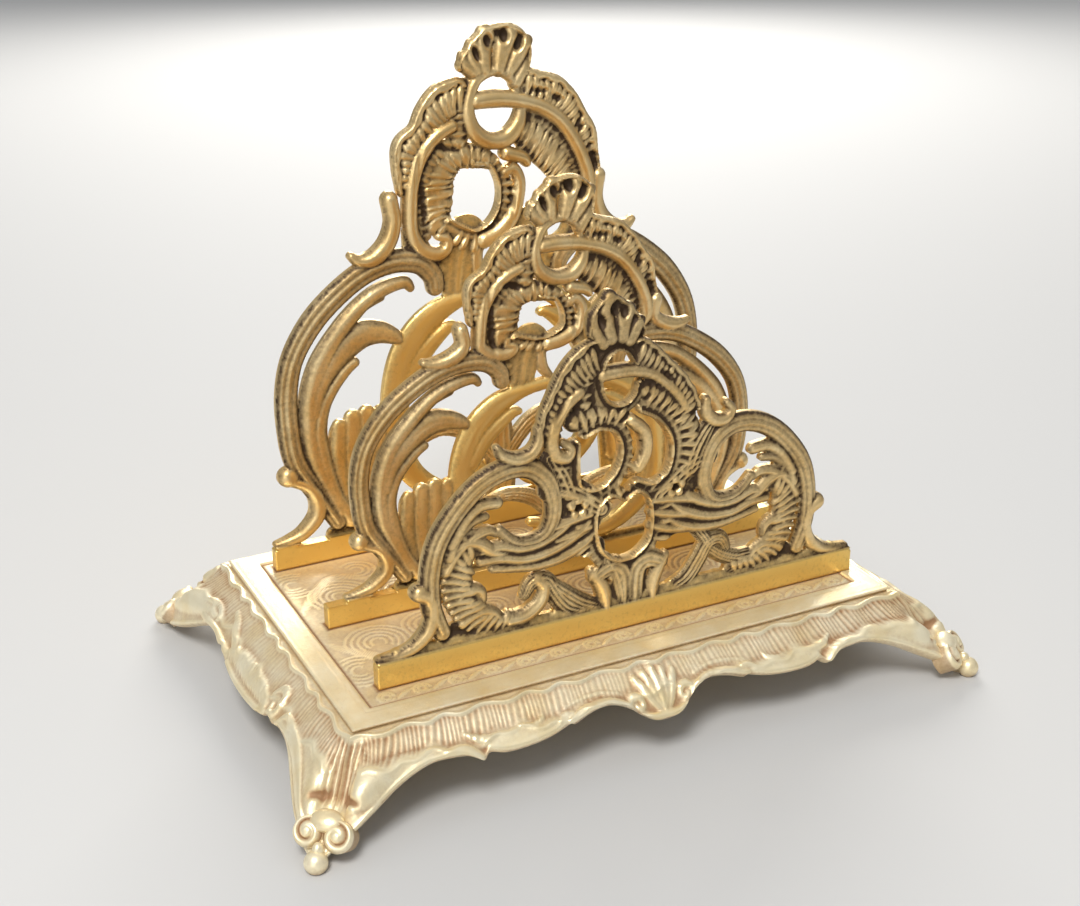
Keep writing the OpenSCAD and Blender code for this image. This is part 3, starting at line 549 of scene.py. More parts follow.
TALL_CROWN = [
    ("flute",
     [[-25.5, 98, 1.5], [-24.3, 103, 2], [-22, 107.5, 2.2], [-19.5, 110.8, 1.8]],
     [[-20.5, 86, 1.8], [-21.3, 93, 2], [-20.5, 100, 2.2], [-17, 106.5, 2.4], [-12, 108.5, 2.2]],
     [[9, 121, 1.6], [15, 119.3, 1.8], [20, 116, 1.8], [24, 110.5, 1.8], [26.8, 104, 1.6],
      [28, 98, 1.4]],
     [[9, 114, 1.6], [14, 111.8, 1.8], [19, 107, 2], [22.5, 101, 2], [24, 95, 1.8]]),
    ("sunk", [[2.5, 98, 1.6], [3.8, 93, 1.6], [2.5, 88, 1.6]]),
    ("lip_l",
     [[-8.8, 128.5, 1.9], [-6.5, 131.5, 2.2], [-3.6, 134.2, 2.6], [0, 135.6, 2.7], [4.6, 135.6, 2.6],
      [8, 132.8, 2.3], [8.6, 129, 1.8], [8, 126, 1.6]]),
    ("shell",
     [[8.5, 110.5, 4.5], [13, 106.5, 5], [17.5, 102, 4.8], [20.5, 97, 4], [21.5, 91.5, 3.5]],
     [[-11, 109.5, 3], [-10, 114, 3], [-9.8, 118.5, 3], [-9, 123, 2.5]],
     [[-15, 85.5, 1.5], [-17.3, 89.5, 4], [-17.4, 95, 5], [-16, 101.5, 4.6], [-11.5, 105.2, 3.6],
      [-6, 105, 3.2], [-1.5, 103.3, 2.2]]),
    ("rim_r", TALL_OVAL),
    ("lip_l",
     [[-26.5, 98, 1.6], [-26.7, 104, 2.4], [-26, 109.5, 2.8], [-22, 113, 2.6], [-19.3, 117.5, 3],
      [-15.5, 121, 3.5], [-11, 122.5, 3.3]],
     [[9, 124.5, 2.4], [13, 122.8, 2.8], [17.5, 121.3, 2.8], [21.5, 117.5, 2.7], [24.5, 112.5, 2.7],
      [27.3, 108.5, 2.4], [28.3, 103.5, 2], [29.3, 98.5, 1.7], [29, 93, 1.5]]),
    ("rib",
     [[-6, 126.5, 2], [-8.3, 128.7, 1.8], [-8.8, 131, 1.2]],
     [[-5, 127, 2], [-6.3, 130.5, 2.2], [-6, 133.3, 1.9]],
     [[-3, 127, 2.2], [-3.3, 132, 2.5], [-2.4, 135.8, 2.6]],
     [[1, 127, 2.2], [2.5, 132, 2.8], [4, 135.4, 2.8]],
     [[4, 126, 2], [6.5, 130, 2.5], [8.6, 133, 2.1], [9.8, 133.6, 1.2]],
     [[6, 123, 2], [8, 126, 1.8], [8.9, 129, 1.1]]),
    ("rod",
     [[-12.5, 113.5, 1.7], [-17, 111.3, 2], [-21.5, 106.5, 2.1], [-24, 100, 2.1], [-24.8, 93, 2.1],
      [-24.5, 87, 2], [-22, 82.5, 2], [-18, 80.5, 2], [-15, 81.5, 1.7], [-14.6, 84, 1.4], [-17, 85, 1]]),
    ("ring",
     [[6.3, 120.5, 1.1], [4.5, 124.3, 1.2], [0, 126.4, 1.2], [-5, 124.7, 1.5], [-7.3, 120.5, 1.8],
      [-7.8, 116, 2], [-6, 111.5, 2.2], [-2, 108.8, 2.3], [3, 109, 2.5], [6.2, 112.3, 2.2],
      [7.3, 116, 1.6]]),
    ("rod",
     [[-5.5, 119.3, 2.3], [-1, 119.5, 2.5], [4, 119, 2.3], [9, 117.8, 2.1], [14, 115.8, 2.1],
      [19, 112, 2.1], [23, 106.5, 2.1], [25.7, 101, 2.1], [27.3, 95.5, 2.1], [27, 89, 2.1],
      [24, 84, 2]],
     [[2.5, 100.3, 1.4], [5, 100.8, 1.6], [6.6, 97.5, 1.8], [6, 92.5, 2], [3.8, 87.5, 2.4],
      [0, 84, 2.6], [-4, 82.5, 2.4]],
     [[3, 105, 2], [7.5, 103.5, 1.7], [9, 101.8, 1.2]]),
]
TALL_LEFT = [
    [-26, 98, 2], [-26.2, 104, 2.4], [-25.5, 109.5, 2.8], [-21.5, 113, 2.6], [-18.8, 117.5, 3],
    [-15, 120.8, 3.3], [-11, 122, 3.2]]
TALL_RIGHT = [
    [9.5, 124, 2.4], [13, 122.6, 2.7], [17.5, 121, 2.8], [21.5, 117.3, 2.7], [24.3, 112.4, 2.6],
    [27, 108, 2.4], [28, 103.5, 2]]
TALL_CROWN += [
    feathers(TALL_LEFT, pitch=1.9, start=-1.5, end=0.3, lean=0.5, w=1.0),
    feathers(TALL_RIGHT, pitch=1.9, start=-1.5, end=0.3, lean=-0.5, w=1.0),
    feathers(TALL_OVAL[1:8], pitch=2.1, start=0.1, end=2.4, lean=0.4, w=0.95, style="ray"),
    rim(TALL_LEFT, 0.62, 0.85),
    rim(TALL_RIGHT, 0.62, 0.85),
]
BEADS = [[x, 6.5 + 0.35 * math.sin(0.9 * x), 1.5] for x in range(-62, 3, 2)]
FRONT_FAN = [
    [-42, 31.5, 4], [-45.2, 28.5, 4.2], [-46, 22, 4.4], [-44, 15.5, 4.2], [-40.5, 11, 3.6],
    [-35, 8.8, 2.6], [-30, 9, 2]]
FRONT_SIDES = [
    ("flat", [[-50, 6, 2.2], [-25, 6, 2.2], [0, 6, 2.2]]),
    ("sunk",
     [[-23, 25, 2.5], [-16, 24.5, 2.5], [-9, 23, 2.5]],
     [[-14, 30, 3], [-14, 36, 3]],
     [[-49, 8, 2.6], [-45, 9, 3], [-41, 8, 2.6]]),
    ("web",
     [[-15.8, 34.8, 3.7], [-13.5, 34.8, 3.7]],
     [[-39, 28, 2.6], [-34, 26.6, 3.2], [-28, 25, 3.4], [-22, 25.4, 3.6], [-16, 27.5, 3.8],
      [-11, 30, 3.4]]),
    ("curl",
     [[-40, 28.5, 1.2], [-35, 28.9, 1.6], [-30, 27.4, 1.7], [-25, 27.5, 1.7], [-20, 29.4, 1.7],
      [-16, 31.8, 1.4]],
     [[-40, 26, 1.3], [-35, 26, 1.7], [-29, 24.4, 1.8], [-22, 24.9, 1.8], [-15.5, 27.5, 1.8],
      [-11.5, 30.5, 1.3]],
     [[-37, 23.4, 1.1], [-31, 22.6, 1.5], [-25, 21.9, 1.6], [-18.5, 22.6, 1.7], [-13, 24.8, 1.6],
      [-10.5, 27, 1.2]]),
    ("rib", [[-47.5, 32, 2], [-44, 37.5, 1.9], [-40, 40.3, 1.7], [-35.5, 40.2, 1.5]]),
    ("curl",
     [[-49, 25.5, 1.7], [-46, 29.8, 1.7], [-42, 32.8, 1.6], [-38, 33.6, 1.3], [-36, 32.4, 0.9]]),
    ("rib", [[-48, 29, 2], [-45.5, 34, 1.7], [-42, 36.8, 1.4], [-38.5, 37.3, 1]]),
    ("hair", [[-22, 41, 3], [-17, 39.5, 3.5], [-12, 36, 4], [-8, 33, 3]]),
    ("leaf", [[-9, 15, 2.5], [-5, 16.5, 3], [-2, 14, 3.5], [-1.5, 6, 3.5]]),
    ("curl", [[-10.5, 16.5, 1.2], [-8.5, 13.5, 1.9], [-7, 10, 2.1], [-6.5, 6, 2]]),
    ("bead", BEADS),
    ("hair",
     [[-22, 49, 2.5], [-19, 44, 3.5], [-17, 39, 3.5]],
     [[-28.5, 14.5, 1.6], [-26.5, 17.5, 2.2], [-23, 17, 2.4], [-20.5, 13, 2.6], [-17, 8.5, 2.6],
      [-12, 6.5, 2]]),
    ("band",
     [[-50.5, 10, 2.2], [-52.8, 17, 2.5], [-53, 25, 2.6], [-51, 33, 2.7], [-46.5, 39.8, 2.7],
      [-40.5, 45.3, 2.7], [-34, 48, 2.7], [-28, 47.8, 2.7], [-23.5, 44.5, 2.6], [-21.3, 39.5, 2.4],
      [-21, 34.5, 2.2], [-23, 30, 1.9], [-27, 28.5, 1.7], [-31.5, 29.5, 1.5], [-35, 33, 1.3]]),
    ("rod",
     [[-56, 21.7, 2.3], [-53.6, 19.5, 1.9], [-52.8, 15.5, 1.9], [-54.3, 11, 2], [-58, 7.8, 1.7],
      [-62, 6.7, 1.4], [-66.5, 6.4, 1]]),
    ("fan", [[x, z, 0.85 * half] for x, z, half in FRONT_FAN]),
    feathers(FRONT_FAN, pitch=1.8, start=-0.95, end=0.75, lean=0.5, w=0.95),
    ("curl",
     [[-48.5, 29, 1.2], [-44.5, 31.8, 1.7], [-40.5, 31, 1.9], [-37, 28, 1.7], [-33.5, 27, 1.2]],
     [[-47, 17, 1.2], [-43.5, 19.5, 1.6], [-40.5, 18.5, 1.5], [-39.6, 16, 1.1]],
     [[-45, 10.5, 1.2], [-41, 13, 1.7], [-37.5, 12.3, 1.6], [-35, 9.5, 1.3]]),
]
LOW_RING = [
    [-1.7, 35.3, 1.5], [-5.5, 37.2, 1.6], [-9.8, 34.5, 1.7], [-11, 28.5, 1.8], [-9.3, 21.5, 1.9],
    [-5.5, 17.8, 2], [-1.5, 16.8, 2], [2.5, 17.8, 2], [6.3, 21.5, 1.9], [7.3, 27.5, 1.8],
    [6.3, 33.5, 1.7], [2.3, 37, 1.6]]
LEFT_RING = [
    [-13, 53.5, 1.3], [-8.5, 55, 1.5], [-3.5, 53, 1.8], [-1.5, 48, 1.9], [-2.7, 42.5, 2],
    [-6.5, 38.3, 2], [-11, 37.3, 1.9], [-15, 40, 1.8], [-16, 46, 2], [-15.5, 51, 1.6]]
RIGHT_RING = [
    [3, 57.5, 1.8], [8, 54.5, 1.8], [12, 49, 2], [12.5, 43, 2], [10.5, 38, 2], [6, 35.7, 2],
    [1.5, 37.5, 1.8]]
FRONT_CROWN = [
    ("sunk",
     [[-14, 38, 2.5], [-15, 32, 3.5], [-14, 25, 2.5]],
     [[11, 36, 2.5], [12, 31, 3.5], [12, 25, 2.5]]),
    ("flute",
     [[-21.5, 56, 1.6], [-19.5, 61, 1.8], [-16.5, 66, 1.8], [-12.5, 69.5, 1.6]],
     [[3, 70, 1.6], [8, 66.5, 1.6], [12, 62, 1.6], [15, 57.5, 1.4]],
     [[5, 64, 1.5], [9, 61, 1.6], [12, 57, 1.6]]),
    ("sunk", [[-14, 57, 2], [-12, 60, 2], [-10, 63, 2]]),
    ("lip_l",
     [[-10.5, 78, 1.8], [-9.2, 82, 2.2], [-6.4, 84.4, 2.4], [-3, 82.6, 2.2], [0, 79.8, 1.8],
      [2, 76.5, 1.5]]),
    ("curl",
     [[-10.5, 35.8, 1.3], [-15, 37.8, 1.6], [-20, 39.8, 1.5]],
     [[-11, 32.3, 1.4], [-16, 31.8, 1.7], [-21, 30.8, 1.5]],
     [[-11.3, 29.1, 1.4], [-16, 28.1, 1.7], [-20.5, 27.3, 1.4]],
     [[-11, 25.8, 1.3], [-15, 24.3, 1.6], [-19, 23.3, 1.4]],
     [[6, 32.3, 1.4], [11, 31.8, 1.7], [16, 30.8, 1.6], [20, 29.3, 1.3]],
     [[6.3, 29.1, 1.4], [11, 27.8, 1.7], [16, 26.6, 1.6], [20, 25.3, 1.3]],
     [[6, 25.6, 1.3], [10, 24.1, 1.6], [14, 23.1, 1.5], [18, 22.3, 1.2]],
     [[-33, 8.8, 2], [-28.5, 9.2, 2.2], [-24.8, 11.8, 2.1], [-23.6, 15.3, 1.9], [-25.3, 18, 1.7]]),
    ("hair", [[-22, 16.5, 1.6], [-18, 12.5, 2.4], [-13.5, 8.8, 2.6], [-9, 6.8, 2]]),
    ("leaf", [[-6.5, 19, 1.8], [-4, 15, 2.2], [-2.5, 10, 2.4], [-2, 6, 2]]),
    ("hair",
     [[18, 23.3, 1.8], [21, 20, 2], [23, 17, 2.2]],
     [[23, 15.8, 1.8], [27, 12.8, 2.2], [32, 10.8, 2.2], [37, 11.1, 1.8]]),
    ("leaf", [[29, 7.3, 1.5], [33, 9.3, 2], [38, 10.5, 2], [43, 12.8, 2], [47, 13.3, 1.5]]),
    ("shell",
     [[-15, 57, 3], [-9, 57.5, 2.5], [-3, 56.5, 2.5]],
     [[4, 61.5, 2.5], [9, 58.5, 3], [13, 54.5, 2.5], [15, 51, 2.5]],
     [[15, 53, 3], [17, 47, 3.2], [17, 41, 3.5], [14, 36, 3]],
     [[-13, 61, 2.5], [-12.5, 66, 2.6], [-12, 71, 2.5]]),
    ("rim_r", RIGHT_RING),
    ("lip_l",
     [[-24, 54, 1.3], [-23, 59, 1.9], [-20.5, 63.8, 2.2], [-18, 68, 2.6], [-15, 71.3, 2.8],
      [-11.5, 73.5, 2.8], [-8, 74.5, 2]],
     [[2, 73, 2.2], [5, 71, 2.2], [7.5, 68.5, 2.1], [10.5, 65.5, 2.1], [13.5, 62.3, 2],
      [16, 58.5, 1.8], [17.8, 55, 1.6]]),
    ("rib",
     [[-8, 75, 2], [-10.3, 78.5, 2], [-10.5, 82, 1.6]],
     [[-6, 76, 2.2], [-7.5, 81, 2.5], [-6.6, 85.6, 2.2]],
     [[-3, 76, 2.2], [-2.5, 80, 2.4], [-1.2, 82.2, 1.9]],
     [[-1, 75, 2.2], [1, 78, 1.9], [2.3, 79.2, 1.1]]),
    ("rim_l", LOW_RING + LOW_RING[:1]),
    ("rim_r", LEFT_RING),
    ("rod",
     [[0, 54.5, 1.6], [3.5, 51, 1.8], [4, 46, 1.8], [2, 42, 1.6], [0.5, 42.5, 1.1]],
     [[-14.5, 64, 1.7], [-18, 61.5, 1.9], [-20.5, 57.5, 1.9], [-21.5, 53, 1.9], [-20.5, 49.5, 1.9],
      [-17.5, 48.3, 1.7], [-16.3, 50.3, 1.3], [-18.3, 52, 1]],
     [[-24.8, 56.5, 1.2], [-25, 53.5, 1.6], [-27, 51, 1.8], [-30.5, 50.3, 1.8], [-34, 51.8, 1.5],
      [-35.3, 53.8, 1]],
     [[20.8, 56, 1.3], [21, 52.8, 1.7], [23.5, 50.3, 1.8], [26.5, 50.2, 1.7], [28.3, 52.3, 1.4],
      [27, 54.2, 1.1]]),
    ("rim_l",
     [[1, 69.5, 1], [-1, 72.5, 1.1], [-4, 73.7, 1.1], [-7.5, 72, 1.3], [-9.2, 68.5, 1.4],
      [-9.5, 64.5, 1.5], [-8, 60.5, 1.6], [-5, 58.2, 1.6], [-1.5, 58.2, 1.6], [1.3, 60.5, 1.5],
      [2, 63.5, 1.2]]),
    ("rod",
     [[-8, 67.2, 1.7], [-4, 67.4, 1.8], [0.5, 67, 1.7], [5, 65.5, 1.5], [9, 62.8, 1.5],
      [12.5, 59, 1.5], [14.7, 55.5, 1.4]]),
]
FRONT_LEFT = [
    [-23.7, 54, 2], [-22.5, 59, 2], [-20, 63.8, 2.2], [-17.5, 68, 2.4], [-14.5, 71.3, 2.6],
    [-11.5, 73.5, 2.6]]
FRONT_RIGHT = [
    [3, 72.6, 2.2], [5, 71, 2.2], [7.5, 68.5, 2.1], [10.5, 65.5, 2.1], [13.5, 62.3, 2],
    [16, 58.5, 1.9], [17.5, 55, 1.8]]
FRONT_CROWN += [
    feathers(FRONT_LEFT, pitch=1.7, start=-2.1, end=0.25, lean=0.6, w=0.85),
    feathers(FRONT_RIGHT, pitch=1.7, start=-2.1, end=0.25, lean=-0.6, w=0.85),
    feathers(LOW_RING, pitch=1.9, start=-0.1, end=-2.7, lean=0.5, w=0.85, style="ray"),
    feathers(LEFT_RING, pitch=1.9, start=0.1, end=2.7, lean=0.5, w=0.85, style="ray"),
    feathers(RIGHT_RING[:6], pitch=1.9, start=0.1, end=2.9, lean=0.5, w=0.85, style="ray"),
    rim(FRONT_LEFT, 0.6, 0.75),
    rim(FRONT_RIGHT, 0.6, 0.75),
]

# Deep hollows: [x, height, half width, half height, depth, lean in degrees]
TALL_DIGS = [
    [-5.6, 131.4, 0.9, 2, 1.6, 20], [-2.3, 134.4, 1.2, 1.8, 1.9, 10], [2.6, 135.2, 1.2, 1.7, 1.9, -5],
    [6.6, 133, 1, 1.7, 1.7, -25], [12.5, 120.6, 2.6, 0.8, 0.8, -8], [17.6, 118.3, 1.8, 0.9, 1, -25],
    [24.3, 110.8, 1, 2, 1, 20], [27.4, 104.5, 0.8, 1.8, 0.9, 12], [-22.5, 104, 0.8, 4, 0.7, -10],
    [-21, 94, 0.9, 6, 0.7, 2], [-14.5, 108, 3.5, 0.9, 0.7, -15], [4, 93, 0.7, 4.5, 0.6, 0]]
FRONT_DIGS = [
    [-8.6, 80.5, 0.9, 1.6, 1.5, 15], [-5.6, 83.2, 1, 1.4, 1.6, 0], [-2.5, 81.8, 0.9, 1.4, 1.5, -20],
    [-14.5, 34.8, 1, 1, 1.8, 0], [12.5, 34.8, 1, 1, 1.8, 0], [-19.5, 60.5, 0.9, 3, 0.8, -30],
    [9.5, 64.5, 2.6, 0.8, 0.8, -40], [-2, 24, 0.8, 2, 0.8, 0], [-13, 41, 0.9, 2.2, 0.9, 10],
    [8.5, 39.5, 0.9, 1.8, 0.9, -15]]
FRONT_ROSES = [[-14.5, 34.8], [12.5, 34.8]]


# How far out a rosette's petals lie, their length between the ends' centres and half width
PETAL_OUT, PETAL_L, PETAL_W = 1.566, 0.3, 1.15


def rosette(relief, x, z):
    """Five petals round a hollow."""
    for k in range(5):
        a = math.radians(72 * k + 18)
        relief.scroll([[x + r * math.cos(a), z + r * math.sin(a), PETAL_W]
                       for r in (PETAL_OUT, PETAL_OUT + PETAL_L)], "rose")


def panel(name, design, wide, stout, heights, dark):
    """One pierced panel: its mirrored lower part, its crown and its foot bar."""
    sides, crown, digs, roses = design
    shift, face_y, bar_l = PLACES[name]
    drawn, real = np.array(heights, float).T
    reach = bar_l / 2 + 2
    relief = Relief(-reach, reach, -2, real[-1] + 4, PANEL_STEP)

    def fitted(route):
        r = np.array(route, float)
        return np.stack([r[:, 0] * wide, np.interp(r[:, 1], drawn, real), r[:, 2] * stout], 1)

    for style, *routes in sides:
        for route in routes:
            relief.scroll(fitted(route), style)
            relief.scroll(fitted(route), style, flip=True)
    for style, *routes in crown:
        for route in routes:
            relief.scroll(fitted(route), style, solid=style != "ray")
    for x, z in roses:
        rosette(relief, x, z)
    for x, z, rx, rz, deep, lean in digs:
        relief.dig(x * wide, np.interp(z, drawn, real), rx, rz, deep, lean)
    relief.bar(bar_l / 2, SEAT, BAR_TOP, BACK_PLANE)
    obj = pierced_mesh(name + "_casting", relief, face_y, dark)
    obj.data.transform(Matrix.Translation((shift * MM, 0, TOP_Z * MM)))
    return obj


def lugs(name):
    """The two round lugs behind a bar that take its screws."""
    shift, face_y, _ = PLACES[name]
    verts, faces = [], []
    angles = circle(32)
    for side in (-1, 1):
        start = len(verts)
        x, y = shift + side * LUG_GAP / 2, face_y + LUG_BACK
        for r, z in ((LUG_R, SEAT), (LUG_R, BAR_TOP - 0.7), (LUG_R - 0.25, BAR_TOP - 0.3),
                     (LUG_R - 0.8, BAR_TOP)):
            verts += [(x + r * math.cos(a), y + r * math.sin(a), TOP_Z + z) for a in angles]
        verts += [(x, y, TOP_Z + SEAT), (x, y, TOP_Z + BAR_TOP)]
        faces += [tuple(start + i for i in face) for face in lathe(4, len(angles))]
    return build(name + "_lugs", verts, faces, 0.2, 48)


def finish_piece(obj, node, mat):
    """Gives a piece its material and body, and hides the imported part that it replaces."""
    obj.data.materials.append(mat)
    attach(obj, "root")
    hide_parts(node)


# Camera, light and floor

# The camera's place in millimetres, its axes, and its lens as solved from the photo's frame
CAMERA_AT = (-175.1, -338.8, 217.6)
RIGHT = (0.89167416, -0.45266097, -0.00390437)
DOWN = (-0.178672, -0.34400607, -0.92181134)
FORWARD = (0.41592488, 0.82265295, -0.38761916)
SENSOR, IMAGE_W, FOCAL_PX = 36.0, 1080.0, 1600.0
FLOOR_HALF = 3.0


def camera():
    data = bpy.data.cameras.new("camera")
    data.sensor_width = SENSOR
    data.lens = SENSOR * FOCAL_PX / IMAGE_W
    data.clip_start, data.clip_end = 0.01, 20.0
    obj = new_object("camera", data)
    turn = Matrix((RIGHT, [-v for v in DOWN], [-v for v in FORWARD])).transposed().to_4x4()
    obj.matrix_world = Matrix.Translation([v * MM for v in CAMERA_AT]) @ turn
    bpy.context.scene.camera = obj


def lamp(name, place, aim, size, watts, colour=(1, 1, 1)):
    data = bpy.data.lights.new(name, "AREA")
    data.shape = "DISK"
    data.size = size
    data.energy = watts
    data.color = colour
    obj = new_object(name, data)
    turn = (Vector(aim) - Vector(place)).to_track_quat("-Z", "Y").to_matrix().to_4x4()
    obj.matrix_world = Matrix.Translation(place) @ turn


def studio():
    """Three soft lamps and a sky that brightens upward."""
    lamp("key", (-0.45, -0.5, 0.95), (0, 0, 0.06), 0.4, 9.0, (1, 0.98, 0.95))
    lamp("fill", (-0.9, -0.9, 0.35), (0, 0, 0.06), 0.8, 2.5)
    lamp("back", (0.5, 1.0, 0.6), (0, 0, 0.05), 0.8, 11.0, (1, 0.97, 0.92))
    world = bpy.data.worlds.new("world")
    bpy.context.scene.world = world
    world.use_nodes = True
    tree = world.node_tree
    split = add(tree, "ShaderNodeSeparateXYZ")
    tree.links.new(add(tree, "ShaderNodeTexCoord").outputs["Generated"], split.inputs[0])
    sky = ramp(tree, split.outputs["Z"], ((0.0, (0.3, 0.3, 0.31)), (0.25, (0.5, 0.51, 0.52)),
                                          (0.9, (0.95, 0.96, 0.98))))
    tree.links.new(sky, tree.nodes["Background"].inputs["Color"])
    tree.nodes["Background"].inputs["Strength"].default_value = 0.6
    bpy.context.scene.view_settings.view_transform = "Standard"


def floor():
    mat, tree, bsdf = nodes_of("floor_pale")
    bsdf.inputs["Base Color"].default_value = (0.57, 0.57, 0.565, 1)
    bsdf.inputs["Roughness"].default_value = 0.8
    mesh = bpy.data.meshes.new("floor")
    r = FLOOR_HALF
    mesh.from_pydata([(-r, -r, 0), (r, -r, 0), (r, r, 0), (-r, r, 0)], [], [(0, 1, 2, 3)])
    obj = new_object("floor", mesh)
    mesh.materials.append(mat)


# Base: a plate with an ornamented top, and a flared skirt round it that ends in four feet.

# The skirt's section is a quarter of an oval of this power, with a rounded lower edge
SWELL, EDGE_ROUND = 1.45, 0.55
# Its lower edge: [distance from the middle of the side, height]
LONG_EDGE = [
    [0, 10.2], [3, 10.5], [6, 12], [9, 14], [12.5, 15.2], [16, 15.4], [20, 14.8], [23.5, 13.9],
    [25, 14.1], [30, 13], [36, 12.4], [42, 12.4], [46, 13.2], [47.8, 12.1], [49.6, 12.9], [51.5, 13.6],
    [55, 14], [60, 14.1], [65, 13.1], [70, 11.4], [75, 9], [80, 6.5], [84, 4.6], [88, 2.6], [91.6, 0]]
SHORT_EDGE = [
    [0, 10], [6, 10.1], [12, 10.6], [16, 11.4], [18.5, 12.6], [21, 12], [25, 12.7], [30, 12.5],
    [35, 11.3], [40, 9.2], [45, 6.8], [50, 4.6], [55, 2.8], [60, 1.2], [64.2, 0]]
# How far out the bottom of a corner valley lies, along the diagonal, at each height
VALLEY = [
    [0, 21], [3.5, 20.5], [6, 17.5], [7.6, 13.5], [10.2, 9.4], [13.8, 6.8], [17.7, 4.7], [20.4, 2.2],
    [21.2, 0]]
LONG_STROKES = [
    ("lobe",
     [[-82, 11.8, 2.4], [-76, 13.2, 3.2], [-69, 14.6, 2.8], [-62, 15.4, 2], [-56, 15.6, 1.2]],
     [[-46, 15.6, 1.2], [-41, 14.9, 1.9], [-35, 14.6, 2], [-29, 15.2, 1.5], [-25.5, 15.6, 0.8]]),
    ("roll",
     [[-62, 15.1, 0.5], [-56, 15.3, 0.9], [-52, 15.2, 1.1], [-49.4, 14.1, 1.1], [-48.1, 12.9, 0.9],
      [-48.3, 12.2, 0.6]],
     [[-50.5, 17.6, 0.4], [-48, 16.4, 0.8], [-45, 15.9, 0.8], [-42, 16.2, 0.4]],
     [[-42, 16.1, 0.3], [-39.2, 15.6, 0.6], [-36.8, 15.7, 0.6], [-35.8, 16.4, 0.4]],
     [[-37, 16.6, 0.3], [-34, 16.1, 0.6], [-31.4, 16.6, 0.6], [-30.8, 17.3, 0.3]],
     [[-27.5, 15.2, 0.6], [-25.6, 16.2, 0.7], [-23.4, 16.2, 0.6]],
     [[-24.6, 14.9, 0.6], [-21, 15.9, 0.9], [-17, 16.4, 0.9], [-13, 16.2, 0.9], [-9.8, 15.1, 0.8],
      [-8, 13.4, 0.6]]),
    ("line", [[-25, 17.4, 0.3], [-20, 18.1, 0.4], [-15, 18.2, 0.4], [-10.5, 17.4, 0.4]]),
    ("roll",
     [[-8.8, 14.9, 0.5], [-7.6, 16.1, 0.8], [-5.9, 15.9, 0.8], [-5.2, 14.5, 0.7], [-6.2, 13.7, 0.6],
      [-7, 14.4, 0.5]],
     [[-7.6, 12.6, 0.5], [-5.4, 11.9, 0.8], [-3, 11.6, 0.9], [0, 11.7, 0.9]]),
    ("petal",
     [[-0.5, 12, 0.6], [-2.2, 14, 0.9], [-4, 17, 1.1], [-5.2, 18.8, 0.7]],
     [[-0.2, 12, 0.6], [-1.2, 14.5, 0.9], [-2, 17.6, 1.1], [-2.5, 19.2, 0.8]],
     [[0, 11.6, 0.8], [0, 14, 1.1], [0, 17.4, 1.3], [0, 19.6, 0.9]]),
]
SHORT_STROKES = [
    ("lobe", [[-55, 9.8, 2.2], [-49, 11.6, 3], [-43, 13.6, 2.8], [-37, 14.8, 2], [-31, 15.2, 1.2]]),
    ("hatched", [[-14, 13.5, 1.6], [-8, 14.3, 2.6], [0, 14.2, 2.8], [8, 14.3, 2.4], [14, 13.5, 1.4]]),
    ("sweep",
     [[-24.5, 18.8, 0.5], [-20, 17.6, 0.9], [-15, 15.4, 1.1], [-10, 13.4, 1], [-4, 12.2, 0.8],
      [3, 11.7, 0.8], [10, 11.8, 0.8], [15.5, 12.4, 0.7]]),
    ("roll",
     [[14.5, 16.2, 0.5], [16.2, 17.8, 0.8], [18.8, 17.9, 0.9], [20.2, 16, 1], [19.6, 13.9, 0.9],
      [17.6, 13.4, 0.7], [16.8, 14.8, 0.6]],
     [[-46, 12.4, 0.5], [-41, 15, 0.7], [-36, 16.6, 0.8], [-31, 16.8, 0.7], [-28.5, 15.6, 0.6],
      [-29.5, 14.6, 0.5]],
     [[-12, 11.9, 0.7], [-4, 11, 0.8], [4, 11, 0.8], [12, 11.6, 0.7]],
     [[23.4, 13.4, 0.6], [24.6, 15.4, 0.8], [27.4, 15.9, 0.8], [31, 15.6, 0.6]],
     [[-37, 13.2, 0.8], [-31, 13.7, 0.8], [-25, 13.6, 0.8], [-19, 13, 0.9], [-15.2, 12.9, 0.8]]),
    ("sweep",
     [[24, 14.2, 0.7], [30, 14.8, 1.2], [36, 13.8, 1.4], [42, 11.4, 1.5], [48, 8.6, 1.4], [54, 6, 1.1]]),
]


def sample(relief, x, z):
    """Heights of a relief at any points."""
    j = np.clip((x - relief.x[0]) / relief.step, 0, len(relief.x) - 1.001)
    i = np.clip((z - relief.z[0]) / relief.step, 0, len(relief.z) - 1.001)
    i0, j0 = i.astype(int), j.astype(int)
    u, v, h = j - j0, i - i0, relief.height
    low = h[i0, j0] * (1 - u) + h[i0, j0 + 1] * u
    return low * (1 - v) + (h[i0 + 1, j0] * (1 - u) + h[i0 + 1, j0 + 1] * u) * v


def low_relief(half_x, z0, z1, step, strokes, mirrored=False):
    """Strokes that lie on a surface and have no outline of their own."""
    relief = Relief(-half_x, half_x, z0, z1, step)
    for style, *routes in strokes:
        for route in routes:
            relief.scroll(route, style, solid=False)
            if mirrored:
                relief.scroll(route, style, flip=True, solid=False)
    return relief


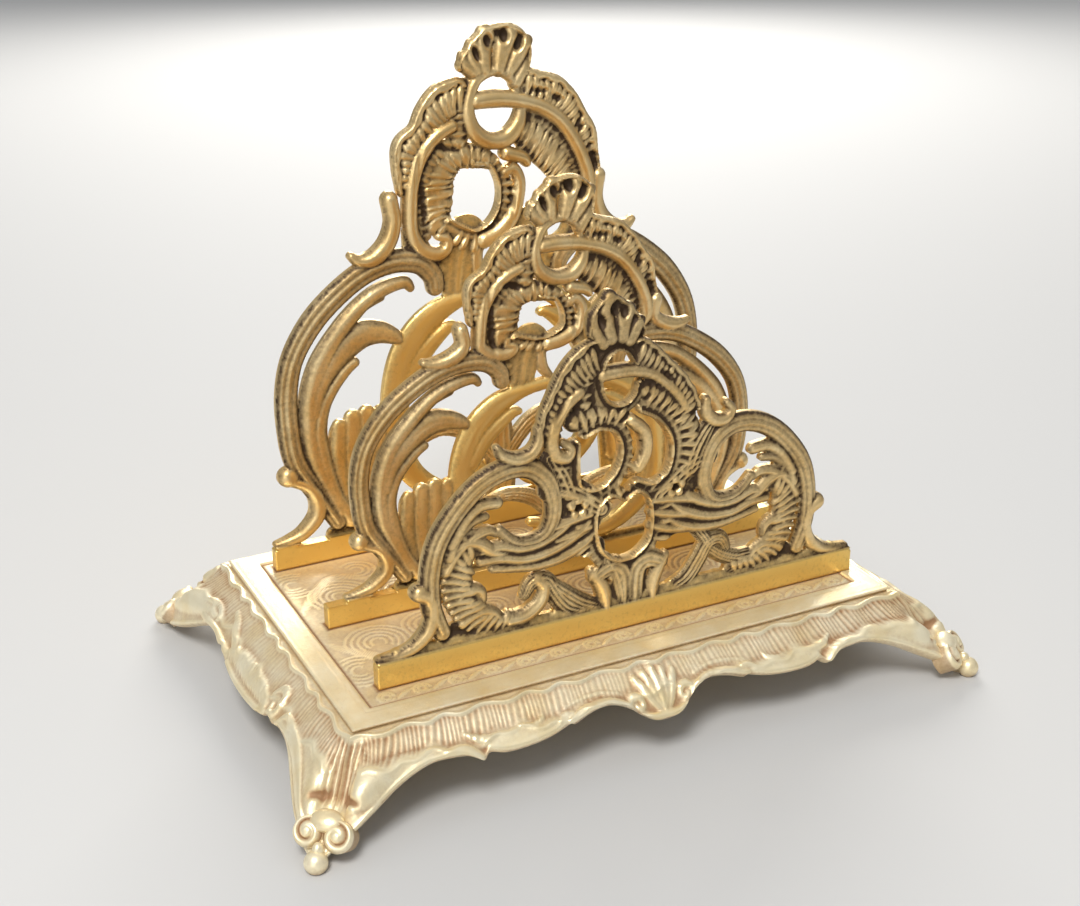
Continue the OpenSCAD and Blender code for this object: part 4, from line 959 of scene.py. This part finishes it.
def skirt_carving(relief, a, o, z, s, low, share):
    """How far the skirt is raised, and how hollow it is, at points a along, o out and z up. s is
    the distance from the corner's line, low the lower edge's height, and share the part of the
    way from the side's middle to its end."""
    off_corner = step01(s, 1.5, 4.5)
    h = sample(relief, a, z) * off_corner
    # A bead along the lower edge
    h = h + 0.45 * bump(z - low, 0.5, 0.75) * step01(s, 0.5, 2.5)
    # A wavy ribbon under the top, a line below the frieze, and the flutes between them
    ribbon = 1.5 + 0.5 * np.sin(0.62 * a + 0.6 * np.sin(0.23 * a))
    h = h + 0.6 * bump(o, ribbon, 0.55)
    foot = 14.9 + 1.9 * (0.5 + 0.3 * np.sin(0.31 * a + 1.0) + 0.2 * np.sin(0.83 * a))
    h = h + 0.3 * bump(z, foot, 0.45) * off_corner
    band = step01(z, foot + 0.3, foot + 1.6) * step01(o, ribbon + 0.3, ribbon + 0.9)
    lean = np.sign(a) * (0.15 + 1.0 * share ** 3)
    phase = (a + 0.5 * np.sin(0.6 * a) - lean * (20 - z)) / 1.3
    flute = ripple(phase) * (0.85 + 0.15 * np.sin(0.9 * a + 0.5))
    h = h - band * off_corner * (0.13 + 0.3 * share ** 2) * flute
    # A lobe and a dent beside each corner, and grooves down the corner itself
    lobe = bump(s, 6.8, 3.2) * step01(z, 4, 9) * (1 - step01(z, 13.5, 18.5))
    h = h + 1.1 * lobe
    ridge = bump(s, 0, 3.6, 4) * step01(z, 8.5, 10.5) * (1 - step01(z, 19.6, 20.6))
    h = h - 0.42 * ridge * ripple(s / 1.25)
    dent = bump(s, 4.2, 1.7) * bump(z, 10.9, 1.1) - 1.3 * bump(s, 4.4, 1.0) * bump(z, 10.1, 0.9)
    dent = np.maximum(0, dent)
    h = h - 1.6 * dent
    shape = h - 1.1 * lobe
    # The dents get painted shade besides the tarnish that their depth gives
    hollow = 0.16 + 1.1 * (blur(shape, 5) - shape) + 0.5 * dent
    hollow = hollow + band * (0.12 + 0.22 * share) * off_corner + 0.3 * ridge
    return h, np.clip(hollow, 0, 1)


def skirt_part(half_l, half_d, edge, relief):
    """One side of the skirt as rings of points: [ring, column, x y z], and its hollows."""
    cols, rows = int(2 * (half_l + FLARE) / SKIRT_STEP), int(27 / SKIRT_STEP)
    t = (np.linspace(-1, 1, cols + 1)[:-1])[None, :]
    known = curve([[a, z, 1] for a, z in edge], 6)
    low = np.zeros_like(t) + 10.0
    for _ in range(12):
        reach = FLARE * (1 - (low / EDGE_Z) ** SWELL) ** (1 / SWELL)
        low = np.interp(np.abs(t) * (half_l + reach), known[:, 0], known[:, 1])
    low = low + EDGE_ROUND
    end = np.arccos(np.clip(low / EDGE_Z, 0, 1) ** (SWELL / 2))
    angle = np.linspace(0, 1, rows)[:, None] ** 0.9 * end
    o = FLARE * np.sin(angle) ** (2 / SWELL)
    z = EDGE_Z * np.cos(angle) ** (2 / SWELL)
    a = t * (half_l + o)
    no = (o / FLARE) ** (SWELL - 1) / FLARE
    nz = (z / EDGE_Z) ** (SWELL - 1) / EDGE_Z
    size = np.hypot(no, nz) + 1e-9
    s = (o - (np.abs(a) - half_l)) / math.sqrt(2)
    h, hollow = skirt_carving(relief, a, o, z, s, low, np.abs(a) / (half_l + FLARE))
    valley = np.array(VALLEY)
    pull = np.maximum(0, math.sqrt(2) * o - np.interp(z, valley[:, 0], valley[:, 1]))
    pull = pull * bump(s, 0, 3.3)

    def place(off, height, pull_here):
        pulled = pull_here / math.sqrt(2)
        along = np.abs(t * (half_l + off)) - pulled
        return np.stack([np.sign(t) * along + np.zeros_like(off), -(half_d + off - pulled),
                         height + np.zeros_like(off)], axis=2)

    outer = place(o + h * (no / size), z + h * (nz / size), pull)
    last = slice(rows - 1, rows)
    lower = []
    for k in range(1, 7):
        turn = math.pi * k / 7
        lower.append(place(o[last] - SKIRT_WALL / 2 * (1 - math.cos(turn)),
                           z[last] - EDGE_ROUND * math.sin(turn), pull[last]))
    keep = np.arange(rows - 1, 5, -4)
    inner = place(o[keep] - SKIRT_WALL, np.minimum(z[keep], 19.6), pull[keep])
    shut = [place(np.full_like(t, off), np.full_like(t, height), 0 * t)
            for off, height in ((-1.2, 20.0), (-1.2, 21.0), (-0.2, 21.15))]
    pts = np.concatenate([outer] + lower + [inner] + shut)
    return pts, np.concatenate([hollow, np.full((len(pts) - rows, cols), 0.35)])


def skirt():
    """The whole skirt as one closed ring."""
    half_l, half_d = TOP_L / 2, TOP_D / 2
    long_relief = low_relief(94, -1, 23, STROKE_STEP, LONG_STROKES, mirrored=True)
    short_relief = low_relief(66, -1, 23, STROKE_STEP, SHORT_STROKES)
    sides = (skirt_part(half_l, half_d, LONG_EDGE, long_relief),
             skirt_part(half_d, half_l, SHORT_EDGE, short_relief))
    parts = []
    for quarter, (c, s) in enumerate(((1, 0), (0, 1), (-1, 0), (0, -1))):
        pts = sides[quarter % 2][0]
        x, y = pts[..., 0] * c - pts[..., 1] * s, pts[..., 0] * s + pts[..., 1] * c
        parts.append(np.stack([x, y, pts[..., 2]], axis=2))
    pts = np.concatenate(parts, axis=1)
    hollow = np.concatenate([sides[quarter % 2][1] for quarter in range(4)], axis=1)
    ids = np.arange(hollow.size).reshape(hollow.shape)
    below = np.roll(ids, -1, axis=0)
    faces = np.stack([ids, below, np.roll(below, -1, axis=1), np.roll(ids, -1, axis=1)], axis=2)
    return build("base_skirt", pts.reshape(-1, 3), faces.reshape(-1, 4).tolist(),
                 hollow.ravel(), 60)


def arcs(cx, cy, radii, start, end):
    """Thin concentric strokes."""
    turns = np.radians(np.linspace(start, end, 9))
    w = 0.42 + 0.03 * np.sin(np.linspace(0, math.pi, 9))
    return ("line", *(np.stack([cx + r * np.cos(turns), cy + r * np.sin(turns), w], 1)
                      for r in radii))


def top_strokes():
    """The engraving of the sunk field: two rows of swirls, and small curls along both edges."""
    strokes = []
    for k, x in enumerate((-55, -31, -8, 15, 38, 60)):
        for y, up in ((-17, 1), (18, -1)):
            if k % 2:
                up = -up
            strokes += [
                arcs(x, y + 4 * up, (2, 3.6, 5.2, 6.8, 8.4), -40, 210),
                arcs(x - 9, y - 7 * up, (2.2, 3.8, 5.4, 7), 60, 300),
                arcs(x + 9, y - 8 * up, (1.8, 3.4, 5), -120, 130),
                ("combed", [[x - 12, y + 9 * up, 0.8], [x - 7, y + 2 * up, 1.8],
                            [x + 1, y - 6 * up, 2.2], [x + 8, y - 4 * up, 1.4],
                            [x + 11, y + 2 * up, 0.6]])]
    for x in range(-63, 64, 9):
        strokes += [
            arcs(x, -38, (1, 2), 0, 320),
            ("line", [[x + 2.5, -39.4, 0.4], [x + 4.5, -38, 0.7], [x + 6.5, -36.8, 0.4]]),
            arcs(x, 40, (0.9, 1.8), 30, 330)]
    return strokes


# Thin lines round the border: [distance from the edge, depth]
BORDER_LINES = ((5.2, 0.14), (6.1, 0.08), (1.2, 0.05))
# Rings down the plate's side: [how far in, height]
PLATE_SIDE = ((0.0, 22.0), (0.25, 21.8), (0.7, 21.6), (0.8, 21.0), (0.8, TOP_Z - PLATE_T))


def plate():
    """The flat top with its raised border, thin lines and low ornament."""
    half_l, half_d = TOP_L / 2, TOP_D / 2
    nx, ny = int(TOP_L / PLATE_STEP) + 1, int(TOP_D / PLATE_STEP) + 1
    X, Y = np.meshgrid(np.linspace(-half_l, half_l, nx), np.linspace(-half_d, half_d, ny))
    from_edge = np.minimum(half_l - np.abs(X), half_d - np.abs(Y))
    ornament = low_relief(half_l, -half_d, half_d, ENGRAVING_STEP, top_strokes())
    swirl = sample(ornament, X, Y)
    field = step01(from_edge, BORDER - 0.2, BORDER + 0.2)
    fade = step01(from_edge, BORDER + 0.6, BORDER + 1.8)
    Z = TOP_Z - (TOP_Z - FIELD_Z) * field + 0.9 * swirl * fade
    # A groove at the foot of the border, its outward slope, its lines and its rounded edge
    Z = Z - 0.3 * bump(from_edge, BORDER + 0.35, 0.3)
    Z = Z - 0.4 * np.clip(1 - from_edge / 5.2, 0, 1)
    for place, deep in BORDER_LINES:
        Z = Z - deep * bump(from_edge, place, 0.28)
    Z = np.where(from_edge < 0.5 * PLATE_STEP, Z - 0.22, Z)
    # Plain sunk seats under the panels' bars, darker round them
    seats = 0 * Z
    for shift, face_y, bar_l in PLACES.values():
        within = np.minimum(bar_l / 2 + 0.3 - np.abs(X - shift),
                            np.minimum(Y - face_y + 0.3, face_y + 3.5 - Y))
        seats = np.maximum(seats, step01(within, -0.9, 0.1))
        Z = np.where(within > 0, FIELD_Z - 0.15, Z)
    hollow = 0.12 + 2.4 * (blur(Z, 3) - Z) + 0.06 * field
    hollow = np.clip(hollow + 0.2 * fade * (0.4 - np.minimum(swirl, 0.4)) + 0.5 * seats, 0, 1)
    ids = np.arange(nx * ny).reshape(ny, nx)
    faces = np.stack([ids[:-1, :-1], ids[:-1, 1:], ids[1:, 1:], ids[1:, :-1]], 2)
    faces = faces.reshape(-1, 4).tolist()
    verts = [np.stack([X, Y, Z], 2).reshape(-1, 3)]
    above = np.concatenate([ids[0, :-1], ids[:-1, -1], ids[-1, :0:-1], ids[:0:-1, 0]])
    outline, n, start = verts[0][above], len(above), nx * ny
    for inset, height in PLATE_SIDE:
        ring = outline.copy()
        ring[:, 0] = np.clip(ring[:, 0], inset - half_l, half_l - inset)
        ring[:, 1] = np.clip(ring[:, 1], inset - half_d, half_d - inset)
        ring[:, 2] = height
        verts.append(ring)
        here = start + np.arange(n)
        faces += np.stack([above, here, np.roll(here, -1), np.roll(above, -1)], 1).tolist()
        above, start = here, start + n
    verts.append(np.array([[0.0, 0.0, TOP_Z - PLATE_T]]))
    faces += np.stack([above, np.full(n, start), np.roll(above, -1)], 1).tolist()
    walls = np.full(n * len(PLATE_SIDE) + 1, 0.4)
    return build("base_plate", np.concatenate(verts), faces,
                 np.concatenate([hollow.ravel(), walls]), 50)


def circle(turns):
    """Angles of evenly spaced points round a circle."""
    return np.arange(turns) * 2 * math.pi / turns


def ring_of(angles, rx, ry, z):
    """A ring of points on an oval at height z."""
    return np.stack([rx * np.cos(angles), ry * np.sin(angles), z + 0 * angles], 1)


def lathe(rings, turns):
    """Faces of a stack of rings that is closed at both ends by its first and last point."""
    faces = []
    for i in range(rings - 1):
        for k in range(turns):
            a, b = i * turns + k, i * turns + (k + 1) % turns
            faces.append((a, b, b + turns, a + turns))
    top, bottom = rings * turns, rings * turns + 1
    for k in range(turns):
        faces.append((top, (k + 1) % turns, k))
        last = (rings - 1) * turns
        faces.append((bottom, last + k, last + (k + 1) % turns))
    return faces


def capped(rings, shades, top, bottom, end_shades):
    """Points, faces and hollows of a stack of rings with a point at each end."""
    pts = np.concatenate(rings + [[[0, 0, top], [0, 0, bottom]]])
    faces = [face[::-1] for face in lathe(len(rings), len(rings[0]))]
    return pts, faces, np.concatenate(shades + [end_shades])


def volute(way):
    """A snail scroll: points round its axis, the axis pointing to the viewer."""
    radius, deep = 3.6, 4.6
    angles = circle(72)
    rings, shades = [], []
    for r in np.linspace(0.06, 1, 26):
        phase = 1.55 * r - way * angles / (2 * math.pi) + 0.35
        coil = np.abs(np.sin(math.pi * phase)) ** 0.8
        dome = 1.35 * math.sqrt(max(0.0, 1 - r ** 5))
        wind = step01(r, 0.28, 0.45) * (1 - step01(r, 0.93, 1.0))
        groove = wind * (1 - coil)
        rings.append(ring_of(angles, radius * r, radius * r, dome - groove + 0.5 * bump(r, 0, 0.3, 4)))
        shades.append(np.clip(0.1 + 0.75 * groove, 0, 1))
    for r, z in ((1.0, -0.6), (0.97, -2.0), (0.9, -deep)):
        rings.append(ring_of(angles, radius * r, radius * r, z))
        shades.append(np.full(len(angles), 0.55))
    return capped(rings, shades, rings[0][:, 2].mean(), -deep, [0.1, 0.5])


def ellipsoid(size, floor_z=-math.inf):
    """A ball or drop that may be cut flat underneath, with painted shade on its lower half."""
    angles = circle(40)
    rings, shades = [], []
    for lat in np.linspace(math.pi / 2, -math.pi / 2, 21)[1:-1]:
        c, s = math.cos(lat), math.sin(lat)
        rings.append(ring_of(angles, size[0] * c, size[1] * c, size[2] * s))
        # Painted shade: the lower half grows darker towards the bottom, and the lowest point is darkest
        shades.append(np.full(len(angles), 0.15 + 0.45 * max(0.0, -s)))
    pts, faces, shades = capped(rings, shades, size[2], -size[2], [0.15, 0.8])
    pts[:, 2] = np.maximum(pts[:, 2], floor_z)
    return pts, faces, shades


def feet():
    """Ball toe, two volutes and the swelling over them, at each corner."""
    # Each piece, its place out along the corner's diagonal, across it and up, and its tilt
    pieces = [(ellipsoid((2.7, 2.7, 2.7), -2.16), (21.58, 0, 2.16), 0.0),
              (ellipsoid((2.9, 4.0, 2.0)), (15.3, 0, 8.7), 0.35),
              (ellipsoid((1.5, 1.3, 1.7)), (20.2, 0, 4.6), 0.0)]
    for side in (-1, 1):
        pieces.append((volute(side), (17.5, side * 3.5, 6.7), math.radians(55)))
    verts, faces, shades = [], [], []
    start = 0
    for qx in (-1, 1):
        for qy in (-1, 1):
            for (pts, links, tones), (u, s, z), tilt in pieces:
                c, sn = math.cos(tilt), math.sin(tilt)
                px = u + pts[:, 0] * c + pts[:, 2] * sn
                py = s + pts[:, 1]
                pz = z - pts[:, 0] * sn + pts[:, 2] * c
                x = TOP_L / 2 + (px - py) / math.sqrt(2)
                y = TOP_D / 2 + (px + py) / math.sqrt(2)
                verts.append(np.stack([qx * x, qy * y, np.maximum(pz, 0)], 1))
                way = -1 if qx * qy < 0 else 1
                faces += [tuple(i + start for i in face[::way]) for face in links]
                shades.append(tones)
                start += len(pts)
    return build("base_feet", np.concatenate(verts), faces, np.concatenate(shades), 60)


camera()
studio()
floor()

antique = gilt("antique_gilt", bright=(0.88, 0.68, 0.36), deep=(0.74, 0.49, 0.19),
               warm=(0.87, 0.6, 0.19), tarnish=(0.055, 0.03, 0.012), metal=0.85, rough=0.26,
               uneven=0.6)
pale = gilt("pale_gilt", bright=(0.97, 0.88, 0.64), deep=(0.88, 0.72, 0.41),
            warm=(0.88, 0.7, 0.4), tarnish=(0.38, 0.22, 0.11), metal=0.6, rough=0.32, uneven=0.4)

FRONT = (FRONT_SIDES, FRONT_CROWN, FRONT_DIGS, FRONT_ROSES)
TALL = (TALL_SIDES, TALL_CROWN, TALL_DIGS, [])
# Heights over the base: [as drawn, as real]
FRONT_HEIGHTS = [[0, 0], [5.5, 5.5], [88, 88]]
MIDDLE_HEIGHTS = [[0, 0], [5.5, 5.5], [81, 64], [93.5, 69.5], [117.5, 88.3], [138.5, 107]]
REAR_HEIGHTS = [[0, 0], [5.5, 5.5], [81, 81], [93.5, 93.5], [117.5, 117.5], [138.5, 138.3]]
# How wide and how stout each panel is against its drawing, and how dark: by how much its hollows
# count, the least everywhere, what the crest adds and what patina adds
for name, design, wide, stout, heights, dark in (
        ("front_panel", FRONT, 1.0, 1.0, FRONT_HEIGHTS, (1.35, 0.12, 0.18, 0.12)),
        ("middle_panel", TALL, 0.906, 0.837, MIDDLE_HEIGHTS, (1.05, 0.07, 0.03, 0.2)),
        ("rear_panel", TALL, 1.0, 1.0, REAR_HEIGHTS, (0.95, 0.06, 0.0, 0.26))):
    for piece in (panel(name, design, wide, stout, heights, dark), lugs(name)):
        finish_piece(piece, name, antique)
for piece in (plate(), skirt(), feet()):
    finish_piece(piece, "base", pale)
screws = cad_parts["screws"].data.materials
screws.clear()
screws.append(screw_steel())
